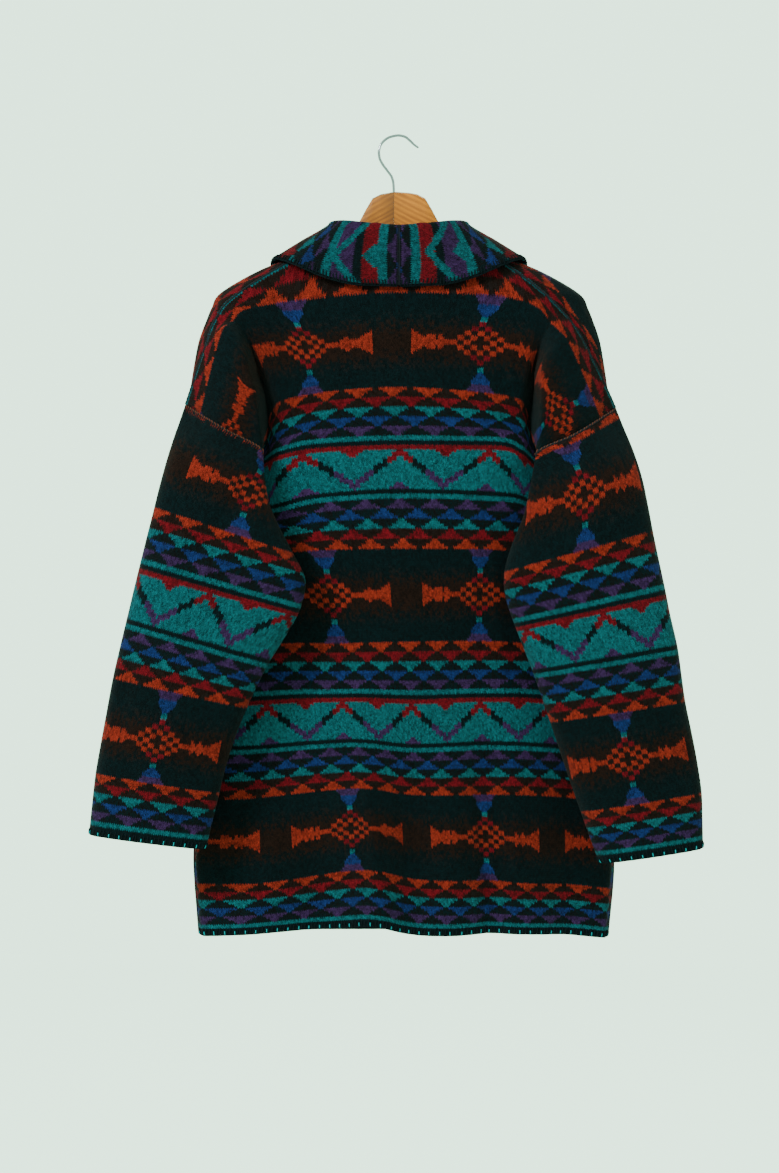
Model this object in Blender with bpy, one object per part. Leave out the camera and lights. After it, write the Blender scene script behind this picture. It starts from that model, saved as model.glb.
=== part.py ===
import math

import bpy
import numpy as np
from mathutils import Vector
from mathutils.bvhtree import BVHTree

# Sizes are in millimetres here, and the model is in metres.
# Across is X, height is Z down from the crown of the hook, depth is Y.
# The garment's back faces -Y. Its left side, as seen from there, is -X.
MM = 0.001

CLOTH = 3.0  # wall of the felted knit
SEAM_GAP = 0.3  # between two pieces sewn edge to edge
UNDERARM_GAP = 2.0  # where back and front meet at the underarm point
SLEEVE_UNDERARM_GAP = 8.0  # and how far a sleeve stays off that point, both ways
UNDERARM_REACH = 9.0
WIRE = 3.2  # hook wire
WIRE_FIT = 0.35  # round the wire in the wood
ARM_REST = 0.5  # cloth to the top of a hanger arm

# Rows of knitting from the shoulder down, at which the body is drawn.
UNDERARM_ROW = 75
V_END_ROW = 126
HEM_ROW = 288
BODY_ROWS = (0, 5, 10, 16, 22, 29, 36, 43, 49, 56, 62, 69, UNDERARM_ROW,
             84, 94, 105, 117, V_END_ROW, 142, 156, 167, 177, 189, 201, 212,
             224, 237, 250, 263, 275, HEM_ROW)
ARMHOLE = BODY_ROWS.index(UNDERARM_ROW) + 1  # how many rows the armhole takes
V_NECK = BODY_ROWS.index(V_END_ROW) + 1

# Guide lines of the back run down the cloth: along its edges, the crest, bottom
# and lip of the fold under each arm, and three lines between them.
# Columns: row, stitch from the middle, across, height, depth.
LEFT_EDGE = (
    (0, -124, -256, -327, -20),
    (25, -124, -210, -356, -50),
    (49, -124, -164, -385, -48),
    (60, -124, -184, -402, -17),
    (69, -124, -203, -411, -6),
    (75, -124, -212, -417, 0),
    (90, -124, -216, -448, 14),
    (117, -124, -222, -508, 14),
    (177, -124, -230, -671, 14),
    (224, -124, -241, -803, 12),
    (250, -124, -248, -871, 12),
    (288, -124, -242, -966, 12),
)
LEFT_CREST = (
    (0, -93, -229, -250, -30),
    (10, -86, -211, -240, -44),
    (29, -93, -179, -297, -52),
    (40, -108, -169, -341, -52),
    (49, -113, -164, -371, -32),
    (60, -112, -174, -387, -10),
    (75, -112, -197, -416, 2),
    (90, -113, -207, -445, 0),
    (117, -112, -217, -508, -2),
    (177, -112, -225, -673, -2),
    (224, -112, -234, -803, -4),
    (250, -112, -240, -871, -6),
    (288, -112, -235, -966, -6),
)
LEFT_GROOVE = (
    (0, -86, -223, -232, -30),
    (10, -79, -200, -228, -36),
    (29, -85, -173, -279, -16),
    (40, -90, -163, -315, -8),
    (49, -97, -158, -348, -4),
    (60, -98, -160, -375, -10),
    (75, -96, -173, -408, -8),
    (117, -92, -184, -508, -12),
    (177, -92, -187, -675, -14),
    (224, -92, -178, -800, -16),
    (250, -92, -176, -870, -18),
    (288, -92, -178, -962, -18),
)
LEFT_LIP = (
    (0, -73, -206, -205, -28),
    (10, -71, -188, -214, -30),
    (29, -76, -165, -261, -24),
    (40, -74, -153, -293, -22),
    (49, -71, -147, -325, -21),
    (60, -68, -146, -357, -20),
    (75, -60, -148, -394, -20),
    (94, -58, -149, -448, -20),
    (117, -60, -137, -504, -20),
    (177, -62, -118, -671, -22),
    (224, -64, -116, -793, -22),
    (250, -64, -112, -862, -22),
    (288, -64, -115, -957, -22),
)
LEFT_MIDDLE = (
    (0, -34, -77, -134, -8),
    (10, -42, -110, -199, -22),
    (29, -42, -97, -256, -24),
    (49, -42, -90, -311, -24),
    (75, -42, -98, -384, -25),
    (94, -42, -98, -436, -25),
    (117, -42, -90, -501, -26),
    (156, -42, -79, -613, -27),
    (177, -42, -73, -671, -27),
    (201, -42, -70, -731, -27),
    (224, -42, -65, -789, -27),
    (263, -42, -59, -888, -27),
    (288, -42, -59, -955, -27),
)
CENTRE = (
    (0, -6, 0, -152, -15),
    (10, -6, 0, -191, -24),
    (29, -6, 0, -250, -25),
    (49, -6, 0, -305, -26),
    (75, -6, 6, -380, -27),
    (94, -5, 2, -430, -28),
    (117, -3, 5, -499, -28),
    (156, 0, 12, -611, -28),
    (177, 0, 14, -672, -28),
    (201, 0, 17, -736, -28),
    (224, 0, 19, -795, -28),
    (263, 0, 23, -897, -28),
    (288, 0, 24, -963, -28),
)
RIGHT_MIDDLE = (
    (0, 22, 77, -134, -8),
    (10, 34, 120, -195, -22),
    (29, 38, 116, -253, -24),
    (49, 38, 115, -313, -24),
    (75, 38, 122, -381, -25),
    (94, 38, 113, -433, -25),
    (117, 39, 102, -500, -26),
    (156, 40, 96, -610, -27),
    (177, 40, 97, -670, -27),
    (201, 40, 100, -733, -27),
    (224, 40, 102, -795, -27),
    (263, 40, 106, -898, -27),
    (288, 40, 106, -961, -27),
)
RIGHT_LIP = (
    (0, 58, 169, -189, -26),
    (10, 55, 170, -212, -28),
    (29, 54, 157, -266, -24),
    (40, 55, 153, -298, -22),
    (49, 56, 148, -322, -21),
    (60, 55, 149, -353, -20),
    (75, 53, 151, -393, -20),
    (94, 52, 146, -437, -20),
    (117, 58, 140, -502, -20),
    (177, 60, 143, -670, -22),
    (224, 60, 145, -795, -22),
    (250, 60, 147, -868, -22),
    (288, 60, 146, -961, -22),
)
RIGHT_GROOVE = (
    (0, 70, 188, -207, -30),
    (10, 64, 182, -228, -32),
    (29, 72, 165, -283, -16),
    (40, 84, 163, -321, -8),
    (49, 90, 158, -350, -4),
    (60, 92, 163, -377, -10),
    (75, 92, 178, -416, -8),
    (117, 90, 191, -506, -12),
    (177, 90, 198, -674, -14),
    (224, 90, 202, -799, -16),
    (250, 90, 203, -871, -18),
    (288, 90, 200, -963, -18),
)
RIGHT_CREST = (
    (0, 86, 215, -241, -30),
    (10, 79, 201, -251, -44),
    (29, 92, 172, -301, -54),
    (40, 107, 171, -347, -53),
    (49, 113, 165, -374, -32),
    (60, 112, 177, -391, -10),
    (75, 112, 204, -425, 2),
    (90, 113, 214, -453, 0),
    (117, 112, 221, -512, -2),
    (177, 112, 229, -674, -2),
    (224, 112, 244, -804, -4),
    (250, 112, 252, -877, -6),
    (288, 112, 246, -968, -6),
)
RIGHT_EDGE = (
    (0, 124, 260, -331, -20),
    (25, 124, 212, -362, -52),
    (49, 124, 165, -388, -48),
    (60, 124, 188, -406, -17),
    (69, 124, 210, -420, -6),
    (75, 124, 220, -427, 0),
    (90, 124, 223, -456, 14),
    (117, 124, 227, -513, 14),
    (177, 124, 235, -674, 14),
    (224, 124, 251, -805, 12),
    (250, 124, 260, -879, 12),
    (288, 124, 253, -969, 12),
)
BACK_GUIDES = (LEFT_EDGE, LEFT_CREST, LEFT_GROOVE, LEFT_LIP, LEFT_MIDDLE, CENTRE,
               RIGHT_MIDDLE, RIGHT_LIP, RIGHT_GROOVE, RIGHT_CREST, RIGHT_EDGE)
BACK_PANELS = (2, 2, 2, 3, 4, 4, 3, 2, 2, 2)  # columns of cloth between two guides
NECK_COLUMN = sum(BACK_PANELS[:4])
CENTRE_COLUMN = sum(BACK_PANELS[:5])

# Soft upright folds of the lower back.
# Columns: stitch, half its width, out towards the viewer, lift, first row.
BACK_FOLDS = (
    (-88, 15, 6, 0, 200),
    (-60, 14, -5, 0, 140),
    (-26, 15, 14, 7, 140),
    (-6, 8, -7, 0, 180),
    (20, 13, 8, 0, 150),
    (42, 9, -11, 0, 110),
    (66, 14, 9, 0, 150),
    (90, 10, -5, 0, 170),
)

# Guide lines of a front, drawn for the left one. The shoulder row and the side
# seam come from the back. Columns: row, across, height, depth.
FRONT_ARMHOLE = (
    (5, -255, -333, -11),
    (14, -250, -341, 2),
    (29, -241, -360, 14),
    (49, -229, -390, 22),
    (62, -224, -406, 15),
    (69, -219, -413, 8),
    (75, -212, -417, 0),
)
FRONT_BY_ARM = (
    (5, -241, -254, -13),
    (14, -241, -266, 6),
    (29, -235, -303, 21),
    (49, -222, -350, 30),
    (62, -213, -376, 31),
    (75, -205, -399, 27),
    (90, -207, -432, 29),
    (117, -214, -502, 31),
    (177, -222, -665, 31),
    (224, -233, -800, 30),
    (250, -240, -872, 30),
    (288, -235, -966, 30),
)
FRONT_SHOULDER = (
    (5, -231, -224, -12),
    (14, -228, -234, 9),
    (29, -218, -273, 28),
    (49, -203, -324, 37),
    (75, -188, -386, 41),
    (117, -183, -499, 42),
    (177, -186, -664, 42),
    (224, -190, -800, 42),
    (288, -190, -965, 40),
)
FRONT_CHEST = (
    (5, -214, -191, -10),
    (14, -208, -200, 12),
    (29, -192, -240, 33),
    (49, -174, -298, 42),
    (75, -158, -368, 46),
    (117, -146, -494, 47),
    (177, -144, -664, 47),
    (224, -144, -800, 46),
    (288, -142, -965, 44),
)
FRONT_BREAST = (
    (5, -168, -164, -8),
    (14, -164, -172, 14),
    (29, -152, -212, 36),
    (49, -136, -272, 45),
    (75, -120, -345, 49),
    (117, -100, -478, 51),
    (177, -96, -664, 50),
    (224, -96, -800, 49),
    (288, -95, -965, 47),
)
FRONT_INNER = (
    (5, -78, -130, 2),
    (14, -76, -146, 18),
    (29, -67, -190, 34),
    (49, -54, -250, 44),
    (75, -38, -325, 50),
    (105, -17, -412, 53),
    (126, -3, -470, 54),
    (142, 0, -520, 53),
    (177, 0, -664, 51),
    (224, 0, -800, 50),
    (288, 0, -965, 48),
)
FRONT_GUIDES = ((0, FRONT_ARMHOLE), (2, FRONT_BY_ARM), (4, FRONT_SHOULDER),
                (6, FRONT_CHEST), (7, FRONT_BREAST), (9, FRONT_INNER))
INNER_COLUMN = FRONT_GUIDES[-1][0]
RIGHT_ARMHOLE_SHIFT = (-8, -10)  # the right underarm hangs wider and lower

# A sleeve is a flattened tube in front of the body's side. Columns: row, outer
# edge across and height, inner edge across and height, middle depth, half depth.
LEFT_SLEEVE = (
    (7, -256, -327, -164, -385, -34, 20),
    (29, -274, -392, -157, -441, -56, 24),
    (49, -289, -451, -128, -505, -62, 26),
    (60, -298, -484, -113, -538, -64, 27),
    (70, -305, -514, -118, -568, -64, 27),
    (82, -314, -550, -132, -596, -64, 27),
    (94, -322, -585, -155, -633, -64, 26),
    (117, -338, -653, -182, -688, -62, 26),
    (136, -350, -717, -203, -743, -61, 25),
    (156, -359, -766, -215, -789, -60, 24),
    (182, -367, -838, -231, -855, -58, 23),
)
RIGHT_SLEEVE = (
    (7, 260, -331, 165, -388, -34, 20),
    (29, 287, -413, 150, -458, -56, 24),
    (49, 300, -479, 127, -527, -62, 26),
    (60, 307, -513, 128, -557, -64, 27),
    (70, 314, -545, 137, -585, -64, 27),
    (82, 321, -580, 148, -614, -64, 27),
    (94, 329, -616, 160, -645, -64, 26),
    (117, 338, -681, 181, -705, -62, 26),
    (136, 349, -735, 199, -759, -61, 25),
    (156, 358, -789, 217, -811, -60, 24),
    (182, 360, -854, 239, -872, -58, 23),
)
SLEEVE_ROWS = (7, 13, 20, 29, 39, 49, 60, 70, 82, 94, 106, 117, 130, 143, 156, 169, 182)
ARMHOLE_FADE_ROW = 44  # by here the tube has its own section
DEPTH_FADE_ROW = 26  # and by here its own depth
# Slack under the arm, where the tube hangs away from the body's side: outwards,
# back and down, its half width in columns, and the share that each ring takes.
UNDERARM_SLACK = (8.0, 5.0, -3.0)
SLACK_COLUMNS = 1.8
SLACK_RINGS = ((1, 1.0), (2, 0.7), (3, 0.3))
INNER_EDGE_ROW = 49  # where the drop seam ends at the inner edge
# Share of half a turn at the inner edge, and at the underarm.
INNER_TURN = 0.97
UNDERARM_TURN = 1.22

# Shawl collar, left half. The station counts along its seam, from the centre
# back to the end of the V. Columns: station, fold line, outer edge.
COLLAR_PATH = (
    (0, (0, -112, -27), (0, -184, -31)),
    (2, (-44, -108, -25), (-58, -181, -31)),
    (3, (-63, -105, -17), (-92, -172, -30)),
    (4, (-79, -104, -5), (-124, -158, -28)),
    (5, (-83, -107, 8), (-149, -149, -12)),
    (6, (-83, -115, 20), (-155, -157, 12)),
    (8, (-78, -143, 38), (-153, -188, 38)),
    (10, (-71, -184, 50), (-144, -232, 52)),
    (12, (-63, -225, 57), (-132, -278, 60)),
    (15, (-47, -294, 62), (-108, -352, 64)),
    (18, (-27, -376, 65), (-70, -420, 66)),
    (21, (-9, -458, 64), (-18, -476, 65)),
)
COLLAR_ROLL = 4.2  # half the width of the roll at the fold line
COLLAR_FLATTER = 0.45  # share of it lost at the end of the V
COLLAR_SWELL = 3.0  # how far the fall rounds out between fold and edge
STAND_SQUARING = 0.6  # how nearly the stand leaves its seam at right angles
COLLAR_FALL_STEPS = 4

# Top of the bare wood at the middle of the hanger. Columns: across, height.
WOOD_TOP = ((0, -66.5), (20, -69), (32, -74.5), (40, -88), (49, -105), (62, -119))
WOOD_JOINT = -6.0
JOINT_GAP = 0.3
STEM_DEPTH = 30.0  # how far the hook's stem stands in the wood
WOOD_UNDER = ((0, -126), (50, -138), (80, -160), (120, -181), (170, -204), (214, -226))
ARM_LENGTH = 214.0
ARM_STATIONS = (0, 12, 22, 32, 40, 49, 62, 78, 95, 112, 130, 148, 166, 184, 198, 208, 214)
ARM_TIP = {208: 0.82, 214: 0.5}
# Columns: across, depth of its middle, half its thickness.
ARM_DEPTH = ((0, 0, 6.5), (60, 0, 6.5), (140, -3, 8), (214, -6, 7.5))
ARM_SIDES = 14

# Middle of the hook wire, from inside the wood to the tip. Columns: across, height.
HOOK_WIRE = (
    (-6, -94), (-6, -74), (-6.5, -58), (-8.6, -49), (-14, -41), (-20, -32.8),
    (-23.4, -25.5), (-24.2, -18.5), (-22.6, -11), (-18, -4.8), (-10.6, -0.2),
    (-1, 1.7), (7, 0.2), (13, -4.2), (18.4, -9.4), (24, -13.4),
)

WIRE_POINTS = 44

COLOURS = {
    "knit": ((0.012, 0.040, 0.048), 0.95, 0.0),
    "knit_collar": ((0.010, 0.120, 0.140), 0.95, 0.0),
    "wood": ((0.47, 0.23, 0.065), 0.45, 0.0),
    "chrome": ((0.72, 0.74, 0.75), 0.18, 1.0),
}


# Curves through points

def slopes(xs, ys):
    """Slopes that keep a curve through its points from overshooting them."""
    step = np.diff(xs)
    rise = np.diff(ys) / step
    slope = np.zeros(len(xs))
    slope[0], slope[-1] = rise[0], rise[-1]
    for i in range(1, len(xs) - 1):
        if rise[i - 1] * rise[i] > 0:
            before = 2 * step[i] + step[i - 1]
            after = step[i] + 2 * step[i - 1]
            slope[i] = (before + after) / (before / rise[i - 1] + after / rise[i])
    return slope


def through(xs, ys, x):
    """The value at x of a smooth curve through the points xs, ys."""
    xs, ys = np.asarray(xs, float), np.asarray(ys, float)
    slope = slopes(xs, ys)
    i = int(np.clip(np.searchsorted(xs, x) - 1, 0, len(xs) - 2))
    step = xs[i + 1] - xs[i]
    t = min(max((x - xs[i]) / step, 0.0), 1.0)
    return (ys[i] * (1 + 2 * t) * (1 - t) ** 2 + step * slope[i] * t * (1 - t) ** 2
            + ys[i + 1] * t * t * (3 - 2 * t) + step * slope[i + 1] * t * t * (t - 1))


def at_row(table, row):
    """All the columns of a guide table at one row."""
    rows = [line[0] for line in table]
    return [through(rows, [line[k] for line in table], row)
            for k in range(1, len(table[0]))]


def ramp(x, start, end):
    t = min(max((x - start) / (end - start), 0.0), 1.0)
    return t * t * (3 - 2 * t)


# Grids of points for the middle of each wall

def back_grid():
    """Points of the back, row by row from the shoulder."""
    places = [0]
    for k, parts in enumerate(BACK_PANELS):
        places += [k + (i + 1) / parts for i in range(parts)]
    guides = range(len(BACK_GUIDES))
    grid = []
    for row in BODY_ROWS:
        stations = [at_row(table, row) for table in BACK_GUIDES]
        line = []
        for place in places:
            stitch, x, z, y = [through(guides, [s[k] for s in stations], place)
                               for k in range(4)]
            for middle, half, out, lift, first in BACK_FOLDS:
                bump = math.exp(-((stitch - middle) / half) ** 2)
                bump *= ramp(row, first, HEM_ROW)
                y -= out * bump
                z += lift * bump
            line.append((x, y, z))
        grid.append(line)
    return np.array(grid)


def front_grid(back, side):
    """Points of a front from its armhole edge to its inner edge."""
    edge = 0 if side < 0 else back.shape[1] - 1
    step = -side
    columns = NECK_COLUMN + 1
    indexes = [index for index, _ in FRONT_GUIDES]
    grid = np.zeros((len(BODY_ROWS), columns, 3))
    for r, row in enumerate(BODY_ROWS):
        if r == 0:
            for c in range(columns):
                grid[0, c] = back[0, edge + step * c]
            continue
        stations = []
        for index, table in FRONT_GUIDES:
            if index == 0 and row >= UNDERARM_ROW:
                stations.append(back[r, edge] * (-side, 1, 1))
                continue
            x, z, y = at_row(table, row)
            if side > 0:
                reach = ramp(row, 0, UNDERARM_ROW) * (1 - index / INNER_COLUMN)
                x += RIGHT_ARMHOLE_SHIFT[0] * reach
                z += RIGHT_ARMHOLE_SHIFT[1] * reach * (1 - ramp(row, 90, 200))
            stations.append((x, y, z))
        for c in range(columns):
            point = [through(indexes, [s[k] for s in stations], c) for k in range(3)]
            grid[r, c] = (-side * point[0], point[1], point[2])
        if row >= UNDERARM_ROW:
            grid[r, 0] = back[r, edge]
    return grid


def sleeve_grid(back, front, side):
    """Rings of a sleeve, from the armhole to the cuff."""
    table = LEFT_SLEEVE if side < 0 else RIGHT_SLEEVE
    edge = 0 if side < 0 else back.shape[1] - 1
    seam = [back[r, edge] for r in range(ARMHOLE)]
    seam += [front[r, 0] for r in range(ARMHOLE - 2, 0, -1)]
    inner = BODY_ROWS.index(INNER_EDGE_ROW)
    turns = [INNER_TURN * r / inner for r in range(inner + 1)]
    last = ARMHOLE - 1 - inner
    turns += [INNER_TURN + (UNDERARM_TURN - INNER_TURN) * (k + 1) / last
              for k in range(last)]
    rest = ARMHOLE - 1
    turns += [UNDERARM_TURN + (2 - UNDERARM_TURN) * (k + 1) / rest
              for k in range(rest - 1)]

    def section(row, turn):
        ox, oz, ix, iz, middle, half = at_row(table, row)
        swing = math.cos(math.pi * turn)
        bulge = math.sin(math.pi * turn)
        bulge = math.copysign(abs(bulge) ** 0.75, bulge)
        x = (ox + ix) / 2 + swing * (ox - ix) / 2
        z = (oz + iz) / 2 + swing * (oz - iz) / 2
        return np.array((x, middle - bulge * half, z))

    grid = []
    for row in SLEEVE_ROWS:
        fade = 1 - ramp(row, SLEEVE_ROWS[0], ARMHOLE_FADE_ROW)
        fade_depth = 1 - ramp(row, SLEEVE_ROWS[0], DEPTH_FADE_ROW)
        fades = np.array((fade, fade_depth, fade))
        grid.append([section(row, turn) + fades * (point - section(SLEEVE_ROWS[0], turn))
                     for turn, point in zip(turns, seam)])
    slack = np.array(UNDERARM_SLACK) * (side, 1, 1)
    for r, share in SLACK_RINGS:
        for c in range(len(turns)):
            grid[r][c] += share * math.exp(-((c - ARMHOLE) / SLACK_COLUMNS) ** 2) * slack
    return np.array(grid)


def collar_grid(back, front, side):
    """Sections of a collar half, each from its seam over the fold to its edge."""
    columns = range(CENTRE_COLUMN, NECK_COLUMN - 1, -1)
    if side > 0:
        columns = [2 * CENTRE_COLUMN - c for c in columns]
    seam = [back[0, c] for c in columns]
    seam += [front[r, -1] for r in range(1, V_NECK)]
    stations = [line[0] for line in COLLAR_PATH]
    last = stations[-1]
    grid = []
    for j, start in enumerate(seam):
        fold = np.array([through(stations, [line[1][k] for line in COLLAR_PATH], j)
                         for k in (0, 2, 1)])
        edge = np.array([through(stations, [line[2][k] for line in COLLAR_PATH], j)
                         for k in (0, 2, 1)])
        if side > 0:
            fold[0], edge[0] = -fold[0], -edge[0]
        out = edge - fold
        out[2] = 0
        out = out / max(np.linalg.norm(out), 1e-6)
        roll = COLLAR_ROLL * (1 - COLLAR_FLATTER * ramp(j, 14, last))
        side_in = fold - roll * out - (0, 0, roll)
        side_out = fold + roll * out - (0, 0, roll)
        ahead = seam[min(j + 1, len(seam) - 1)] - seam[max(j - 1, 0)]
        ahead = ahead / np.linalg.norm(ahead)
        rise = (side_in - start) / 2
        rise = rise - STAND_SQUARING * ramp(j, 0, 3) * ahead * (rise @ ahead)
        line = [start, start + rise, side_in, fold, side_out]
        for k in range(1, COLLAR_FALL_STEPS + 1):
            share = k / COLLAR_FALL_STEPS
            swell = COLLAR_SWELL * math.sin(math.pi * share) * (1 - ramp(j, 12, last))
            line.append(side_out + (edge - side_out) * share + out * swell)
        grid.append(line)
    return np.array(grid)


# Walls from grids

def grid_normals(grid, ring):
    """A unit normal at each point, from the quads around it."""
    rows, columns = grid.shape[:2]
    normals = np.zeros_like(grid)
    spans = columns if ring else columns - 1
    for r in range(rows - 1):
        for c in range(spans):
            d = (c + 1) % columns
            cross = np.cross(grid[r + 1, d] - grid[r, c], grid[r, d] - grid[r + 1, c])
            cross /= max(np.linalg.norm(cross), 1e-9)
            for place in ((r, c), (r, d), (r + 1, c), (r + 1, d)):
                normals[place] += cross
    return normals / np.linalg.norm(normals, axis=2, keepdims=True)


def key(point):
    return tuple(np.round(point, 4))


def share_normals(pieces):
    """Pieces that meet at a seam point take one normal there."""
    shared = {}
    for piece in pieces:
        for point, normal in zip(piece["grid"].reshape(-1, 3),
                                 piece["normals"].reshape(-1, 3)):
            if piece["ring"] and key(point) in piece["underarms"]:
                continue
            shared.setdefault(key(point), []).append(normal.copy())
    for piece in pieces:
        flat = piece["normals"].reshape(-1, 3)
        for i, point in enumerate(piece["grid"].reshape(-1, 3)):
            # At the underarm point a sleeve hangs apart from the body and keeps its own.
            if not (piece["ring"] and key(point) in piece["underarms"]):
                total = np.sum(shared[key(point)], axis=0)
                flat[i] = total / np.linalg.norm(total)


def pull_back(piece):
    """Draws each sewn edge half a seam gap back into its own piece."""
    grid = piece["sewn_grid"] = piece["grid"]
    moved = grid.copy()
    sides = {
        "top": ((0, slice(None)), (1, slice(None))),
        "first": ((slice(None), 0), (slice(None), 1)),
        "last": ((slice(None), -1), (slice(None), -2)),
    }
    for name in piece["sewn"]:
        edge, inside = sides[name]
        line = grid[edge]
        along = np.gradient(line, axis=0)
        if piece["ring"]:
            along = np.roll(line, -1, axis=0) - np.roll(line, 1, axis=0)
        along /= np.linalg.norm(along, axis=-1, keepdims=True)
        way = grid[inside] - line
        way -= along * (way * along).sum(axis=-1, keepdims=True)
        way /= np.linalg.norm(way, axis=-1, keepdims=True)
        wider = SLEEVE_UNDERARM_GAP if piece["ring"] else UNDERARM_GAP
        back_off = SEAM_GAP / 2 + (wider - SEAM_GAP) / 2 * near_underarm(piece, line)
        moved[edge] += back_off * way
    piece["grid"] = moved


def near_underarm(piece, line):
    """One at the underarm point, where four edges meet, and none away from it."""
    nearest = np.min([np.linalg.norm(line - np.array(point), axis=1)
                      for point in piece["underarms"]], axis=0)
    return np.exp(-(nearest / UNDERARM_REACH) ** 2)[:, None]


def wall_object(piece):
    """One closed wall of cloth, its faces pointing out."""
    grid, normals, ring = piece["grid"], piece["normals"], piece["ring"]
    rows, columns = grid.shape[:2]
    outer = (grid + normals * CLOTH / 2).reshape(-1, 3)
    inner = (grid - normals * CLOTH / 2).reshape(-1, 3)
    points = np.concatenate([outer, inner]) * MM
    flat = grid.reshape(-1, 3)
    under = rows * columns
    faces = []
    for r in range(rows - 1):
        for c in range(columns if ring else columns - 1):
            d = (c + 1) % columns
            a, b = r * columns + c, r * columns + d
            e, f = (r + 1) * columns + d, (r + 1) * columns + c
            # Both sides of the wall bend along the same, shorter diagonal.
            if np.linalg.norm(flat[a] - flat[e]) < np.linalg.norm(flat[b] - flat[f]):
                halves = [a, b, e], [a, e, f]
            else:
                halves = [a, b, f], [b, e, f]
            for half in halves:
                faces += [half, [i + under for i in reversed(half)]]
    loops = []
    if ring:
        last = (rows - 1) * columns
        loops.append([c % columns for c in range(columns + 1)])
        loops.append([last + c % columns for c in range(columns, -1, -1)])
    else:
        top = list(range(columns))
        right = [r * columns + columns - 1 for r in range(1, rows)]
        bottom = [(rows - 1) * columns + c for c in range(columns - 2, -1, -1)]
        left = [r * columns for r in range(rows - 2, -1, -1)]
        loops.append(top + right + bottom + left)
    # Two pieces sewn together split their facing rims alike, so the gap stays open.
    keys = [key(point) for point in piece["sewn_grid"].reshape(-1, 3)]
    for loop in loops:
        for a, b in zip(loop, loop[1:]):
            if keys[a] < keys[b]:
                faces += [[b, a, b + under], [a, a + under, b + under]]
            else:
                faces += [[b, a, a + under], [b, a + under, b + under]]
    return mesh_object(piece["name"], points, faces, piece["material"])


def mesh_object(name, points, faces, material):
    mesh = bpy.data.meshes.new(name)
    mesh.from_pydata([tuple(p) for p in points], [], faces)
    mesh.update()
    if signed_volume(mesh) < 0:
        mesh.flip_normals()
    mesh.shade_smooth()
    mesh.set_sharp_from_angle(angle=math.radians(50))
    mesh.materials.append(material)
    obj = bpy.data.objects.new(name, mesh)
    bpy.context.scene.collection.objects.link(obj)
    return obj


def signed_volume(mesh):
    mesh.calc_loop_triangles()
    total = 0.0
    for triangle in mesh.loop_triangles:
        a, b, c = (mesh.vertices[i].co for i in triangle.vertices)
        total += a.dot(b.cross(c)) / 6
    return total


def materials():
    made = {}
    for name, (colour, roughness, metallic) in COLOURS.items():
        material = bpy.data.materials.new(name)
        material.use_nodes = True
        shader = material.node_tree.nodes["Principled BSDF"]
        shader.inputs["Base Color"].default_value = (*colour, 1)
        shader.inputs["Roughness"].default_value = roughness
        shader.inputs["Metallic"].default_value = metallic
        made[name] = material
    return made


# The garment

def garment(paint):
    back = back_grid()
    front = {side: front_grid(back, side) for side in (-1, 1)}
    pieces = [{"name": "back", "grid": back, "ring": False,
               "sewn": ("top", "first", "last"), "material": paint["knit"]}]
    for side, word in ((-1, "left"), (1, "right")):
        pieces.append({"name": f"front_{word}", "grid": front[side], "ring": False,
                       "sewn": ("top", "first", "last"), "material": paint["knit"]})
        pieces.append({"name": f"sleeve_{word}",
                       "grid": sleeve_grid(back, front[side], side), "ring": True,
                       "sewn": ("top",), "material": paint["knit"]})
        pieces.append({"name": f"collar_{word}",
                       "grid": collar_grid(back, front[side], side), "ring": False,
                       "sewn": ("top", "first"), "material": paint["knit_collar"]})
    underarms = [key(back[ARMHOLE - 1, 0]), key(back[ARMHOLE - 1, -1])]
    for piece in pieces:
        piece["underarms"] = underarms
        piece["normals"] = outward(piece)
    share_normals(pieces)
    for piece in pieces:
        pull_back(piece)
    return {piece["name"]: wall_object(piece) for piece in pieces}


def outward(piece):
    """Normals on the side of the cloth that shows, outside the garment."""
    normals = grid_normals(piece["grid"], piece["ring"])
    name = piece["name"]
    if name == "back":
        facing = -normals[-1, :, 1].sum()
    elif name.startswith("front"):
        facing = normals[-1, :, 1].sum()
    elif name.startswith("sleeve"):
        middle = piece["grid"][-1].mean(axis=0)
        facing = ((piece["grid"][-1] - middle) * normals[-1]).sum()
    else:
        # The stand carries on from the body, so its neck side is the inside.
        facing = -normals[0, 1, 1]
    return normals if facing > 0 else -normals


# The hanger

def cloth_above(cloth, x, y, z):
    """Height of the lowest cloth over a point inside the garment's shoulder."""
    start = Vector((x, y, z)) * MM
    found = []
    for name in ("back", "front_left", "front_right"):
        place = cloth[name].ray_cast(start, Vector((0, 0, 1)))[0]
        if place is not None:
            found.append(place.z / MM)
    return min(found) if found else None


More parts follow.
